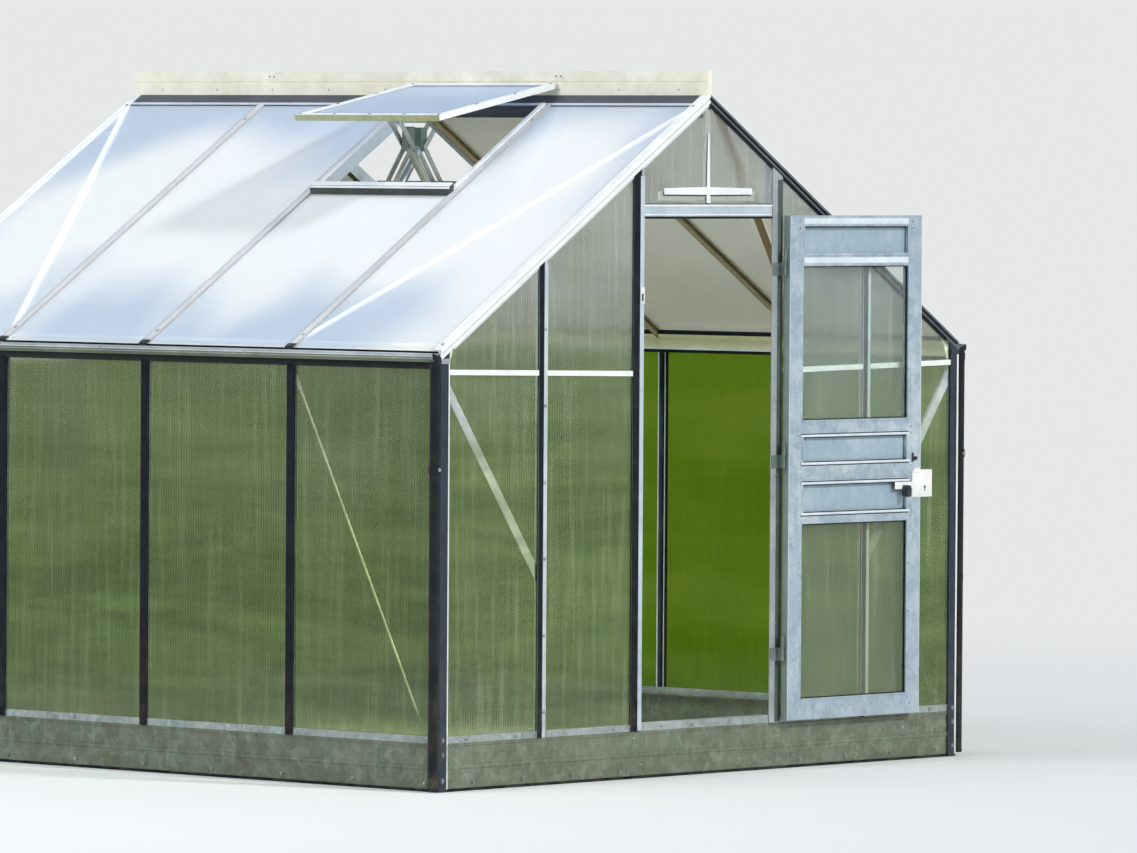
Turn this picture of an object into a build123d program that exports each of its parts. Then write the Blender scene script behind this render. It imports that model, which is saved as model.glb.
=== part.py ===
"""Ridge greenhouse on a low kerb: extruded bars, twin-wall sheets, two roof vents held open and one hinged door."""
from build123d import *
import os
from math import atan2, cos, radians, sin, tan

os.makedirs("parts", exist_ok=True)

# Overall form
BAY = 615.0  # spacing of the frames along the house
BAYS = 4
HALF_WIDTH = 1205.0  # middle to the outer face of a side wall
EAVE_Z = 1313.0  # roof plane over the outer face of the side wall
RIDGE_Z = 2082.0  # roof plane at the ridge
LENGTH = BAY * BAYS
PITCH = atan2(RIDGE_Z - EAVE_Z, HALF_WIDTH)

# Kerb and sill
KERB_HEIGHT = 144.0
KERB_DEPTH = 40.0
KERB_WALL = 3.0
SILL_HEIGHT = 21.0
SILL_DEPTH = 25.0
SILL_WALL = 3.0
SILL_TOP = KERB_HEIGHT + SILL_HEIGHT

# Glazing bars: an outer flange, the sheet's slot, an inner lip and a stem
FLANGE = 4.0
SHEET = 6.0
LIP = 3.0
WEB = 8.0
STEM = 4.0
BAR_DEPTH = 33.0
SLOT_GAP = 2.0
SEAT = FLANGE + SHEET + LIP  # depth of the inner lip's far side
SLOT = FLANGE + SHEET

CORNER_LEG = 38.0
STUD_WIDTH = 36.0
INNER_LIP_WIDTH = 24.0
SIDE_POST_WIDTH = 30.0
ROOF_BAR_WIDTH = 25.0
STRIP_WIDTH = 20.0
STRIP_PROUD = 2.0
POST_STRIP_WIDTH = 32.0

# Doorway
DOOR_HALF = 300.0
DOOR_POST_WIDTH = 46.0
LINTEL_DROP = 148.6  # roof plane over the jamb to the lintel's top
LINTEL_HEIGHT = 36.0
LINTEL_DEPTH = 24.0
LINTEL_WALL = 3.0
BACK_STUD_X = DOOR_HALF + DOOR_POST_WIDTH / 2
STUD_X = (HALF_WIDTH + DOOR_HALF) / 2

# Gable crossbars
CROSSBAR_BELOW_EAVE = 67.0
CROSSBAR_DROP = 15.0
CROSSBAR_HEIGHT = 16.0
CROSSBAR_WEB = 4.0

# Eave, gutter and downpipe
EAVE_RAIL_DROP = 51.0
EAVE_RAIL_LOW = EAVE_Z - EAVE_RAIL_DROP
EAVE_RAIL_WIDTH = 40.0
EAVE_RAIL_WALL = 3.0
GUTTER_WIDTH = 38.0
GUTTER_DROP = 36.0
GUTTER_LOW = EAVE_Z - GUTTER_DROP
GUTTER_HEIGHT = 25.0
GUTTER_WALL = 2.5
GUTTER_LIP = 6.0
GUTTER_CHAMFER = 9.0
SHEET_OVERHANG = 7.0
PIPE_R = 16.0
PIPE_WALL = 2.0
PIPE_Y = 8.0
PIPE_FOOT = 12.0
SEAT_PLAY = 0.3
CLIP_LOW = 946.0
CLIP_HEIGHT = 24.0
CLIP_THICK = 3.0

# Verges and ridge
VERGE_DROP = 27.0
VERGE_WIDTH = 30.0
VERGE_PROUD = 3.5
VERGE_WEATHERING = 4.0  # the sloping top of each bead
VERGE_BEAD = 9.0  # the upper bead of the fascia
VERGE_GROOVE = 7.0
VERGE_BAND = 8.0
RIDGE_FLANK = 56.0
RIDGE_LIP = 40.0
RIDGE_WEB_DEPTH = 72.0
RIDGE_FOOT_WIDTH = 30.0
CREST_RISE = 69.0
CREST_WIDTH = 16.0
CREST_GROOVE = 3.0

# Roof vents
VENT_LEAF_LENGTH = 545.0
VENT_LEAF_THICK = 17.0
VENT_RAIL = 25.0
VENT_SIDE_GAP = 3.0
VENT_OPEN = radians(21.645)  # leaf to the roof plane, as it stands open
VENT_ANGLE = PITCH - VENT_OPEN  # below level
HINGE_RISE = 24.0  # the leaf's hinge over the roof plane at the ridge
HINGE_R = 5.0
VENT_SILL_X = 472.0
VENT_SILL_WIDTH = 18.0
VENT_SILL_RISE = 20.0
VENT_CURB_WIDTH = 15.0
VENT_CURB_RISE = 6.0

# Vent openers, each in a plane across the ridge
OPENER_OFFSET = 16.0  # beside the middle of its vent, towards the front
OPENER_REACH = 95.0  # sill to the joint of the two arms
OPENER_JOINT_RISE = 116.8
OPENER_HEAD_BACK = 62.0  # joint to the arm's end under the leaf
ARM_WIDTH = 16.0
ARM_THICK = 4.0
SHOE_THICK = 5.0
CYLINDER_R = 13.0
CYLINDER_RUN = 106.0
CYLINDER_FALL = 140.0
OPENER_BODY_WIDTH = 28.0
OPENER_BODY_RISE = 62.0

# Braces
BRACE_WIDTH = 30.0
BRACE_THICK = 3.0
BRACE_RIB = 10.0
GABLE_BRACE_TOP_DROP = 98.0  # below the eave
GABLE_BRACE_LOW_Z = 634.0
SIDE_BRACE_TOP_DROP = 88.0
SIDE_BRACE_WIDTH = 14.0
GUSSET_ARM = 47.0
GUSSET_DROP = 100.0
GUSSET_LAP = 8.0  # behind the corner leg
BRACE_LAP = 10.0
MULLION_WIDTH = 25.0
TOP_RAIL_HALF = 220.0
TOP_RAIL_RISE = 13.0  # over the lintel
TOP_RAIL_HEIGHT = 28.0
MULLION_DEPTH = 8.0

# Door leaf, drawn standing open, flat before the right half of the gable
LEAF_WIDTH = 635.0
LEAF_THICK = 25.0
LEAF_LOW = 150.0
LEAF_OVER_LINTEL = 4.0
LEAF_CLEAR = 9.0  # leaf to the plane of the gable, open or shut
HINGE_X = DOOR_HALF + 34.0
HINGE_TO_LEAF = 10.0
STILE = 64.0
RAIL_TOP = 34.0
DOOR_SHEET_THICK = 2.0
DOOR_PANE = 6.0
RAILS = {"upper": (157.0, 116.0), "middle": (686.0, 633.0), "lock": (833.0, 764.0), "low": (955.0, 920.0)}  # below the leaf's top
BOTTOM_RAIL = 65.0
ROLL_R = 4.0  # rolled lips on the rails that hold the pressed sheets
ROLL_OVER = 8.0  # a lip's run onto each stile
KNUCKLE_R = 5.0
KNUCKLE_HEIGHT = 40.0
KNUCKLE_GAP = 0.5
PIN_R = 3.0
PIN_PLAY = 0.05
HINGE_INSET = 185.0  # outer hinges from the leaf's ends
HINGE_PLATE = 3.0
LATCH_DROP = 883.0
LATCH_HEIGHT = 85.0
LATCH_REACH = 56.0
LATCH_LAP = 41.0  # its face plate over the stile
PLATE_THICK = 2.0
PLATE_LENGTH = 85.0
PLATE_HEIGHT = 23.0
PLATE_DROP = 857.0  # leaf's top to the plate's lower edge
KNOB_IN = 82.0  # knob's middle from the leaf's free edge
KNOB_LAP = 13.0  # knob's head over the plate
KNOB_R = 9.0
KNOB_LENGTH = 37.0
KNOB_REACH = 24.0
CATCH_DROP = 281.0  # below the lintel
CATCH_HEIGHT = 38.0
CATCH_DEPTH = 8.0


def block(x0, x1, y0, y1, z0, z1):
    """A box between two corners."""
    return Pos((x0 + x1) / 2, (y0 + y1) / 2, (z0 + z1) / 2) * Box(x1 - x0, y1 - y0, z1 - z0)


def prism_y(points, y0, y1):
    """A polygon drawn in x and z, drawn out along y."""
    outline = make_face(Polyline(*[(x, y0, z) for x, z in points], close=True))
    return extrude(outline, amount=y1 - y0, dir=(0, 1, 0))


def prism_z(points, z0, z1):
    """A polygon drawn in x and y, drawn up along z."""
    outline = make_face(Polyline(*[(x, y, z0) for x, y in points], close=True))
    return extrude(outline, amount=z1 - z0, dir=(0, 0, 1))


def prism_x(points, x0, x1):
    """A polygon drawn in y and z, drawn out along x."""
    outline = make_face(Polyline(*[(x0, y, z) for y, z in points], close=True))
    return extrude(outline, amount=x1 - x0, dir=(1, 0, 0))


def roof_z(x, depth=0.0):
    """Height of the roof plane at x, or of the plane a depth below it."""
    return RIDGE_Z - abs(x) * tan(PITCH) - depth / cos(PITCH)


def slope_strip(x0, x1, top, bottom, y0, y1):
    """A strip of the left slope between two depths below the roof plane."""
    corners = [(x0, roof_z(x0, top)), (x1, roof_z(x1, top)), (x1, roof_z(x1, bottom)), (x0, roof_z(x0, bottom))]
    return prism_y(corners, y0, y1)


def under_roof(depth):
    """The space inside the walls and below a depth under both slopes."""
    w = HALF_WIDTH
    return prism_y([(-w, 0), (w, 0), (w, roof_z(w, depth)), (0, roof_z(0, depth)), (-w, roof_z(w, depth))], -LENGTH, 2 * LENGTH)


def fused(pieces):
    """One solid from pieces that meet."""
    whole = pieces[0]
    for piece in pieces[1:]:
        whole = whole + piece
    return whole


def right(shape):
    """The mirror image on the right of the house."""
    return mirror(shape, Plane.YZ)


def back(shape):
    """The mirror image at the back of the house."""
    return mirror(shape, Plane(origin=(0, LENGTH / 2, 0), z_dir=(0, 1, 0)))


def turned(shape):
    """The copy half a turn round the middle of the house."""
    return Pos(0, LENGTH, 0) * Rot(0, 0, 180) * shape


def bar_inside(x, z0, z1, web=WEB, lip=INNER_LIP_WIDTH):
    """Web, inner lip and stem of an upright bar, as they stand in the front wall."""
    return fused([
        block(x - web / 2, x + web / 2, FLANGE, SLOT, z0, z1),
        block(x - lip / 2, x + lip / 2, SLOT, SEAT, z0, z1),
        block(x - STEM / 2, x + STEM / 2, SEAT, BAR_DEPTH, z0, z1),
    ])


UNDER_VERGE = under_roof(VERGE_DROP)
UNDER_SEAT = under_roof(SEAT)
ABOVE = RIDGE_Z + CREST_RISE
nodes = {}


def seated(outer, inner):
    """A gable bar: its outer flange ends under the verge, its inside under the verge's seat."""
    return (outer & UNDER_VERGE) + (inner & UNDER_SEAT)


# Kerb: a channel folded from sheet, the side kerbs running through at the corners
def channel(depth, height, wall):
    return [(0, 0), (depth, 0), (depth, wall), (wall, wall), (wall, height - wall), (depth, height - wall), (depth, height), (0, height)]


side_face = HALF_WIDTH - FLANGE
front_kerb = prism_x([(FLANGE + y, z) for y, z in channel(KERB_DEPTH, KERB_HEIGHT, KERB_WALL)], -side_face + KERB_DEPTH, side_face - KERB_DEPTH)
left_kerb = prism_y([(-side_face + x, z) for x, z in channel(KERB_DEPTH, KERB_HEIGHT, KERB_WALL)], FLANGE, LENGTH - FLANGE)
nodes["kerb_ends"] = [front_kerb, back(front_kerb)]
nodes["kerb_sides"] = [left_kerb, right(left_kerb)]


# Sill: an inverted channel that the sheets stand on
def sill_section(start):
    a, b = start, start + SILL_DEPTH
    return [(a, KERB_HEIGHT), (a, SILL_TOP), (b, SILL_TOP), (b, KERB_HEIGHT), (b - SILL_WALL, KERB_HEIGHT), (b - SILL_WALL, SILL_TOP - SILL_WALL),
            (a + SILL_WALL, SILL_TOP - SILL_WALL), (a + SILL_WALL, KERB_HEIGHT)]


corner_core = HALF_WIDTH - SEAT
front_sill = prism_x(sill_section(FLANGE), -corner_core, corner_core)
left_sill = prism_y(sill_section(-side_face), FLANGE + SILL_DEPTH, LENGTH - FLANGE - SILL_DEPTH)
nodes["sill_ends"] = [front_sill, back(front_sill)]
nodes["sill_sides"] = [left_sill, right(left_sill)]

# Corner posts: an outer angle from the ground, with an inner angle that holds the sheets
w = HALF_WIDTH
outer_angle = block(-w, -w + CORNER_LEG, 0, FLANGE, 0, ABOVE)
side_leg = block(-w, -w + FLANGE, FLANGE, CORNER_LEG, 0, ABOVE)
inner_angle = fused([
    block(-w + FLANGE, -w + SEAT, FLANGE, SEAT, SILL_TOP, ABOVE),
    block(-w + SEAT, -w + CORNER_LEG, SLOT, SEAT, SILL_TOP, ABOVE),
    block(-w + SLOT, -w + SEAT, SEAT, CORNER_LEG, SILL_TOP, ABOVE),
])
corner_post = (outer_angle & UNDER_VERGE) + (side_leg & UNDER_SEAT) + (inner_angle & UNDER_SEAT)
nodes["corner_posts"] = [corner_post, right(corner_post), back(corner_post), back(right(corner_post))]

# Side posts, one at each frame
post_y = [BAY * k for k in range(1, BAYS)]


def side_post(y):
    outer = block(-SIDE_POST_WIDTH / 2, SIDE_POST_WIDTH / 2, 0, FLANGE, KERB_HEIGHT, EAVE_RAIL_LOW)
    upright = outer + bar_inside(0, SILL_TOP, EAVE_RAIL_LOW)
    return Pos(-HALF_WIDTH, y, 0) * Rot(0, 0, -90) * upright


left_posts = [side_post(y) for y in post_y]
nodes["side_posts"] = left_posts + [right(p) for p in left_posts]


# Gable studs
def stud(x):
    outer = block(x - STUD_WIDTH / 2, x + STUD_WIDTH / 2, 0, FLANGE, KERB_HEIGHT, ABOVE)
    return seated(outer, bar_inside(x, SILL_TOP, ABOVE))


nodes["front_studs"] = [stud(-STUD_X), stud(STUD_X)]
nodes["back_studs"] = [back(stud(x)) for x in (-STUD_X, -BACK_STUD_X, BACK_STUD_X, STUD_X)]

# Door posts: the jamb's face turns back into the doorway
lintel_low = roof_z(DOOR_HALF) - LINTEL_DROP - LINTEL_HEIGHT
jamb = DOOR_HALF + FLANGE
slot_web = DOOR_HALF + DOOR_POST_WIDTH / 2
post_outer = block(-DOOR_HALF - DOOR_POST_WIDTH, -DOOR_HALF, 0, FLANGE, KERB_HEIGHT, ABOVE)
post_inner = fused([
    block(-jamb, -DOOR_HALF, FLANGE, BAR_DEPTH, SILL_TOP, ABOVE),
    block(-slot_web - INNER_LIP_WIDTH / 2, -jamb, SLOT, SEAT, SILL_TOP, ABOVE),
    block(-slot_web - WEB / 2, -slot_web + WEB / 2, FLANGE, SLOT, SILL_TOP, ABOVE),
])
door_post = seated(post_outer, post_inner)
nodes["door_post_left"] = [door_post]
nodes["door_post_right"] = [right(door_post)]

# Lintel: a channel between the jambs, open to the back
lintel_top = lintel_low + LINTEL_HEIGHT
lintel = prism_x([(FLANGE + y, lintel_low + z) for y, z in channel(LINTEL_DEPTH, LINTEL_HEIGHT, LINTEL_WALL)], -DOOR_HALF, DOOR_HALF)
nodes["door_lintel"] = [lintel]

# Eave rails, open to the inside, their upper flange lying under the roof sheets
r0, r1 = -HALF_WIDTH, -HALF_WIDTH + EAVE_RAIL_WIDTH
t = EAVE_RAIL_WALL
eave_section = [
    (r0, EAVE_RAIL_LOW), (r1, EAVE_RAIL_LOW), (r1, EAVE_RAIL_LOW + t), (r0 + t, EAVE_RAIL_LOW + t),
    (r0 + t, roof_z(r0 + t, SLOT + t)), (r1, roof_z(r1, SLOT + t)), (r1, roof_z(r1, SLOT)), (r0, roof_z(r0, SLOT)),
]
eave_rail = prism_y(eave_section, CORNER_LEG, LENGTH - CORNER_LEG)
nodes["eave_rails"] = [eave_rail, right(eave_rail)]

# Gutters: an open channel with a rolled-in lip, closed at both ends
g0, g1 = -HALF_WIDTH - GUTTER_WIDTH, -HALF_WIDTH
g_top = GUTTER_LOW + GUTTER_HEIGHT
inner_top = roof_z(g1, SLOT) - SLOT_GAP - SHEET_OVERHANG
gutter_in = GUTTER_CHAMFER + GUTTER_WALL / 2
gutter_section = [
    (g0 + GUTTER_CHAMFER, GUTTER_LOW), (g1, GUTTER_LOW), (g1, inner_top), (g1 - GUTTER_WALL, inner_top), (g1 - GUTTER_WALL, GUTTER_LOW + GUTTER_WALL),
    (g0 + gutter_in, GUTTER_LOW + GUTTER_WALL), (g0 + GUTTER_WALL, GUTTER_LOW + gutter_in), (g0 + GUTTER_WALL, g_top - GUTTER_WALL),
    (g0 + GUTTER_LIP, g_top - GUTTER_WALL), (g0 + GUTTER_LIP, g_top), (g0, g_top), (g0, GUTTER_LOW + GUTTER_CHAMFER),
]
end_outline = [(g0 + GUTTER_CHAMFER, GUTTER_LOW), (g1, GUTTER_LOW), (g1, inner_top), (g0 + GUTTER_LIP, g_top), (g0, g_top), (g0, GUTTER_LOW + GUTTER_CHAMFER)]
gutter_end = prism_y(end_outline, 0, GUTTER_WALL)
gutter = fused([prism_y(gutter_section, 0, LENGTH), gutter_end, back(gutter_end)])
nodes["gutter_left"] = [gutter]
nodes["gutter_right"] = [right(gutter)]

# Downpipes at the front corners, each with an outlet spout and a clip
pipe_x = -HALF_WIDTH - PIPE_R - SEAT_PLAY
pipe = Pos(pipe_x, PIPE_Y, PIPE_FOOT) * extrude(Circle(PIPE_R) - Circle(PIPE_R - PIPE_WALL), GUTTER_LOW - PIPE_FOOT)
clip = Pos(pipe_x, PIPE_Y, CLIP_LOW) * extrude(Circle(PIPE_R + CLIP_THICK) - Circle(PIPE_R), CLIP_HEIGHT)
clip = clip - block(-HALF_WIDTH - SEAT_PLAY, 0, -LENGTH, LENGTH, 0, ABOVE)
downpipe = pipe + clip
nodes["downpipes"] = [downpipe, right(downpipe)]

# Verges: the end rafters, one extruded profile with two beads on its fascia and the sheet's slot behind it
band_top = VERGE_BEAD + VERGE_GROOVE
verge_profile = [
    (VERGE_WIDTH, 0), (0, 0), (-VERGE_PROUD, VERGE_WEATHERING), (-VERGE_PROUD, VERGE_BEAD), (0, VERGE_BEAD),
    (0, band_top), (-VERGE_PROUD, band_top + VERGE_WEATHERING), (-VERGE_PROUD, band_top + VERGE_BAND), (0, band_top + VERGE_BAND),
    (0, VERGE_DROP), (FLANGE, VERGE_DROP), (FLANGE, SEAT), (VERGE_WIDTH, SEAT), (VERGE_WIDTH, SLOT), (FLANGE, SLOT), (FLANGE, FLANGE), (VERGE_WIDTH, FLANGE),
]
verge_end = make_face(Polyline(*[(-HALF_WIDTH, y, roof_z(HALF_WIDTH, depth)) for y, depth in verge_profile], close=True))
verge = extrude(verge_end, amount=HALF_WIDTH / cos(PITCH), dir=(cos(PITCH), 0, sin(PITCH)))
nodes["verges_left"] = [verge, back(verge)]
nodes["verges_right"] = [right(verge), right(back(verge))]

# Ridge beam between the verges, and the crest that carries the vents' hinges
upper = slope_strip(-RIDGE_FLANK, 0, 0, FLANGE, VERGE_WIDTH, LENGTH - VERGE_WIDTH)
lower = slope_strip(-RIDGE_LIP, 0, SLOT, SEAT, VERGE_WIDTH, LENGTH - VERGE_WIDTH)
ridge_web_low = RIDGE_Z - RIDGE_WEB_DEPTH
ridge_web = block(-WEB / 2, WEB / 2, VERGE_WIDTH, LENGTH - VERGE_WIDTH, ridge_web_low, roof_z(0, FLANGE))
ridge_foot = block(-RIDGE_FOOT_WIDTH / 2, RIDGE_FOOT_WIDTH / 2, VERGE_WIDTH, LENGTH - VERGE_WIDTH, ridge_web_low - LIP, ridge_web_low)
nodes["ridge_beam"] = [fused([upper, right(upper), lower, right(lower), ridge_web, ridge_foot])]

c = CREST_WIDTH / 2
crest_top = RIDGE_Z + CREST_RISE
groove_z = RIDGE_Z + CREST_RISE / 2
left_side = [(-c, roof_z(c)), (-c, groove_z - CREST_GROOVE), (-c + CREST_GROOVE, groove_z), (-c, groove_z + CREST_GROOVE), (-c, crest_top)]
crest = prism_y(left_side + [(-x, z) for x, z in reversed(left_side)] + [(0, RIDGE_Z)], 0, LENGTH)
nodes["ridge_crest"] = [crest]


# Roof bars
def roof_bar(y):
    eave, rail = -HALF_WIDTH - SHEET_OVERHANG, -HALF_WIDTH + EAVE_RAIL_WIDTH
    return fused([
        slope_strip(eave, -RIDGE_FLANK, 0, FLANGE, y - ROOF_BAR_WIDTH / 2, y + ROOF_BAR_WIDTH / 2),
        slope_strip(eave, -RIDGE_FLANK, FLANGE, SLOT, y - WEB / 2, y + WEB / 2),
        slope_strip(rail, -RIDGE_LIP, SLOT, SEAT, y - INNER_LIP_WIDTH / 2, y + INNER_LIP_WIDTH / 2),
        slope_strip(rail, -WEB / 2, SEAT, BAR_DEPTH, y - STEM / 2, y + STEM / 2),
    ])


left_bars = [roof_bar(y) for y in post_y]
nodes["roof_bars_left"] = left_bars
nodes["roof_bars_right"] = [right(b) for b in left_bars]

# Side wall sheets
web_clear = WEB / 2 + SLOT_GAP
side_edges = [(SEAT + SLOT_GAP, BAY - web_clear)] + [(BAY * k + web_clear, BAY * (k + 1) - web_clear) for k in range(1, BAYS - 1)]
side_edges.append((LENGTH - BAY + web_clear, LENGTH - SEAT - SLOT_GAP))
left_sheets = [block(-HALF_WIDTH + FLANGE, -HALF_WIDTH + SLOT, y0, y1, SILL_TOP, EAVE_RAIL_LOW) for y0, y1 in side_edges]
nodes["side_sheets"] = left_sheets + [right(s) for s in left_sheets]


# Gable sheets, parted by crossbars that fall slightly towards the door
def crossbar_z(x):
    reach = HALF_WIDTH - CORNER_LEG
    inner = DOOR_HALF + DOOR_POST_WIDTH
    return EAVE_Z - CROSSBAR_BELOW_EAVE - CROSSBAR_DROP * (reach - abs(x)) / (reach - inner)


def low_sheet(x0, x1):
    part = CROSSBAR_WEB / 2
    return prism_y([(x0, SILL_TOP), (x1, SILL_TOP), (x1, crossbar_z(x1) - part), (x0, crossbar_z(x0) - part)], FLANGE, SLOT)


def high_sheet(x0, x1):
    part = CROSSBAR_WEB / 2
    return prism_y([(x0, crossbar_z(x0) + part), (x1, crossbar_z(x1) + part), (x1, roof_z(x1, SEAT)), (x0, roof_z(x0, SEAT))], FLANGE, SLOT)


def crossbar(x0, x1):
    """An H-section between the sheets: two faces joined by a web."""
    layers = [(0, FLANGE, CROSSBAR_HEIGHT), (FLANGE, SLOT, CROSSBAR_WEB), (SLOT, SEAT, CROSSBAR_HEIGHT)]
    return fused([
        prism_y([(x0, crossbar_z(x0) - h / 2), (x1, crossbar_z(x1) - h / 2), (x1, crossbar_z(x1) + h / 2), (x0, crossbar_z(x0) + h / 2)], y0, y1)
        for y0, y1, h in layers
    ])


outer_pane = (-corner_core + SLOT_GAP, -STUD_X - web_clear)
inner_pane = (-STUD_X + web_clear, -slot_web - web_clear)
outer_span = (-HALF_WIDTH + CORNER_LEG, -STUD_X - STUD_WIDTH / 2)
inner_span = (-STUD_X + STUD_WIDTH / 2, -DOOR_HALF - DOOR_POST_WIDTH)
low = [low_sheet(*outer_pane), low_sheet(*inner_pane)]
high = [high_sheet(*outer_pane), high_sheet(*inner_pane)]
bars = [crossbar(*outer_span), crossbar(*inner_span)]
nodes["front_sheets_low"] = low + [right(s) for s in low]
nodes["front_sheets_high"] = high + [right(s) for s in high]
back_inner_span = (inner_span[0], -BACK_STUD_X - STUD_WIDTH / 2)
back_bars = [crossbar(*outer_span), crossbar(*back_inner_span)]
nodes["crossbars"] = bars + [right(b) for b in bars] + [back(b) for b in back_bars] + [back(right(b)) for b in back_bars]

top_edge = DOOR_HALF - SLOT_GAP
top_sheet = prism_y([(-top_edge, lintel_top), (top_edge, lintel_top), (top_edge, roof_z(top_edge, SEAT)), (0, roof_z(0, SEAT)), (-top_edge, roof_z(top_edge, SEAT))], FLANGE, SLOT)
nodes["front_sheet_top"] = [top_sheet]
mid_edge = BACK_STUD_X - web_clear
mid_sheet = prism_y([(-mid_edge, SILL_TOP), (mid_edge, SILL_TOP), (mid_edge, roof_z(mid_edge, SEAT)), (0, roof_z(0, SEAT)), (-mid_edge, roof_z(mid_edge, SEAT))], FLANGE, SLOT)
nodes["back_sheets"] = [back(s) for s in low + high] + [back(right(s)) for s in low + high] + [back(mid_sheet)]

# Mullion and rail behind the sheet over the door
mullion = block(-MULLION_WIDTH / 2, MULLION_WIDTH / 2, SLOT, SLOT + MULLION_DEPTH, lintel_top, ABOVE) & UNDER_SEAT
top_rail_low = lintel_top + TOP_RAIL_RISE
top_rail = block(-TOP_RAIL_HALF, TOP_RAIL_HALF, SLOT, SLOT + MULLION_DEPTH, top_rail_low, top_rail_low + TOP_RAIL_HEIGHT)
nodes["top_mullion"] = [mullion + top_rail]


# Roof sheets
def roof_sheet(y0, y1, x_top=-WEB / 2 - SLOT_GAP):
    return slope_strip(-HALF_WIDTH - SHEET_OVERHANG, x_top, FLANGE, SLOT, y0, y1)


sheet_y = [(FLANGE + SLOT_GAP, BAY - web_clear)] + [(BAY * k + web_clear, BAY * (k + 1) - web_clear) for k in range(1, BAYS - 1)]
sheet_y.append((LENGTH - BAY + web_clear, LENGTH - FLANGE - SLOT_GAP))
VENT_BAY = 1
sill_low = -VENT_SILL_X - VENT_SILL_WIDTH
left_roof = [roof_sheet(y0, y1) if k != VENT_BAY else roof_sheet(y0, y1, sill_low) for k, (y0, y1) in enumerate(sheet_y)]
nodes["roof_sheets_left"] = left_roof
nodes["roof_sheets_right"] = [turned(s) for s in left_roof]

# Round each vent opening: a raised sill and two low side curbs
vy0, vy1 = BAY * VENT_BAY + ROOF_BAR_WIDTH / 2, BAY * (VENT_BAY + 1) - ROOF_BAR_WIDTH / 2
vent_sill = slope_strip(sill_low, -VENT_SILL_X, -VENT_SILL_RISE, SLOT, vy0, vy1)
vent_curbs = [
    slope_strip(-VENT_SILL_X, -RIDGE_FLANK, -VENT_CURB_RISE, SLOT, vy0, vy0 + VENT_CURB_WIDTH),
    slope_strip(-VENT_SILL_X, -RIDGE_FLANK, -VENT_CURB_RISE, SLOT, vy1 - VENT_CURB_WIDTH, vy1),
]
nodes["vent_sills"] = [vent_sill, turned(vent_sill)]
nodes["vent_curbs"] = vent_curbs + [turned(c) for c in vent_curbs]

# Vent leaf: a frame and its sheet, hung in the groove of the crest
hinge_z = RIDGE_Z + HINGE_RISE
hinge_x = -CREST_WIDTH / 2 - HINGE_R - SEAT_PLAY
leaf_plane = Plane(origin=(hinge_x, LENGTH / 2, hinge_z), x_dir=(-cos(VENT_ANGLE), 0, -sin(VENT_ANGLE)), z_dir=(-sin(VENT_ANGLE), 0, cos(VENT_ANGLE)))
leaf_y0, leaf_y1 = BAY * VENT_BAY + VENT_SIDE_GAP, BAY * (VENT_BAY + 1) - VENT_SIDE_GAP
leaf_mid, leaf_span = LENGTH / 2 - (leaf_y0 + leaf_y1) / 2, leaf_y1 - leaf_y0


def leaf_box(u0, u1, v0, v1, t0, t1):
    """A box in the vent leaf's own plane: u from the hinge, v across, t through."""
    return leaf_plane * Pos((u0 + u1) / 2, leaf_mid + (v0 + v1) / 2, (t0 + t1) / 2) * Box(u1 - u0, v1 - v0, t1 - t0)


half = leaf_span / 2
vt = VENT_LEAF_THICK / 2
vent_frame = leaf_box(0, VENT_LEAF_LENGTH, -half, half, -vt, vt) - leaf_box(VENT_RAIL, VENT_LEAF_LENGTH - VENT_RAIL, -half + VENT_RAIL, half - VENT_RAIL, -vt, vt)
knuckle = leaf_plane * Pos(0, leaf_mid, 0) * Rot(90, 0, 0) * Cylinder(HINGE_R, leaf_span)
vent_frame = vent_frame + knuckle
vent_sheet = leaf_box(VENT_RAIL, VENT_LEAF_LENGTH - VENT_RAIL, -half + VENT_RAIL, half - VENT_RAIL, -SHEET / 2, SHEET / 2)
nodes["vent_frames"] = [vent_frame, turned(vent_frame)]
nodes["vent_sheets"] = [vent_sheet, turned(vent_sheet)]


# Vent opener: two arms joined at a cross-head, with the working cylinder hanging from it
def leaf_under(x):
    """Height of the leaf's underside at x on the left slope."""
    return hinge_z - (abs(x) - abs(hinge_x)) * tan(VENT_ANGLE) - vt / cos(VENT_ANGLE)


def arm(x0, z0, x1, z1, y0):
    """A flat bar across the ridge between two joints, with round ends."""
    length = ((x1 - x0) ** 2 + (z1 - z0) ** 2) ** 0.5
    bar = extrude(SlotCenterToCenter(length, ARM_WIDTH), ARM_THICK)
    return Plane(origin=((x0 + x1) / 2, y0, (z0 + z1) / 2), x_dir=(x1 - x0, 0, z1 - z0), z_dir=(0, 1, 0)) * bar


opener_y = BAY * (VENT_BAY + 0.5) - OPENER_OFFSET
ob = OPENER_BODY_WIDTH / 2
aw = ARM_WIDTH / 2
foot_x = -VENT_SILL_X + SHOE_THICK
foot_z = roof_z(foot_x, -VENT_SILL_RISE) - aw - SLOT_GAP
joint_x, joint_z = -VENT_SILL_X + OPENER_REACH, foot_z + OPENER_JOINT_RISE
head_x = joint_x - OPENER_HEAD_BACK
head_z = leaf_under(head_x) - SHOE_THICK - ARM_WIDTH
shoe = block(-VENT_SILL_X, foot_x, opener_y - ob - aw, opener_y + ob + aw, foot_z - ARM_WIDTH, foot_z + aw)
ear = block(foot_x, foot_x + ARM_WIDTH, opener_y - ob, opener_y + ob, foot_z - aw, foot_z + aw)
pad_edge = [(head_x - ARM_WIDTH, 0), (head_x + ARM_WIDTH, 0), (head_x + ARM_WIDTH, SHOE_THICK), (head_x - ARM_WIDTH, SHOE_THICK)]
pad = prism_y([(x, leaf_under(x) - drop) for x, drop in pad_edge], opener_y - ob - aw, opener_y + ob + aw)
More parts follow.
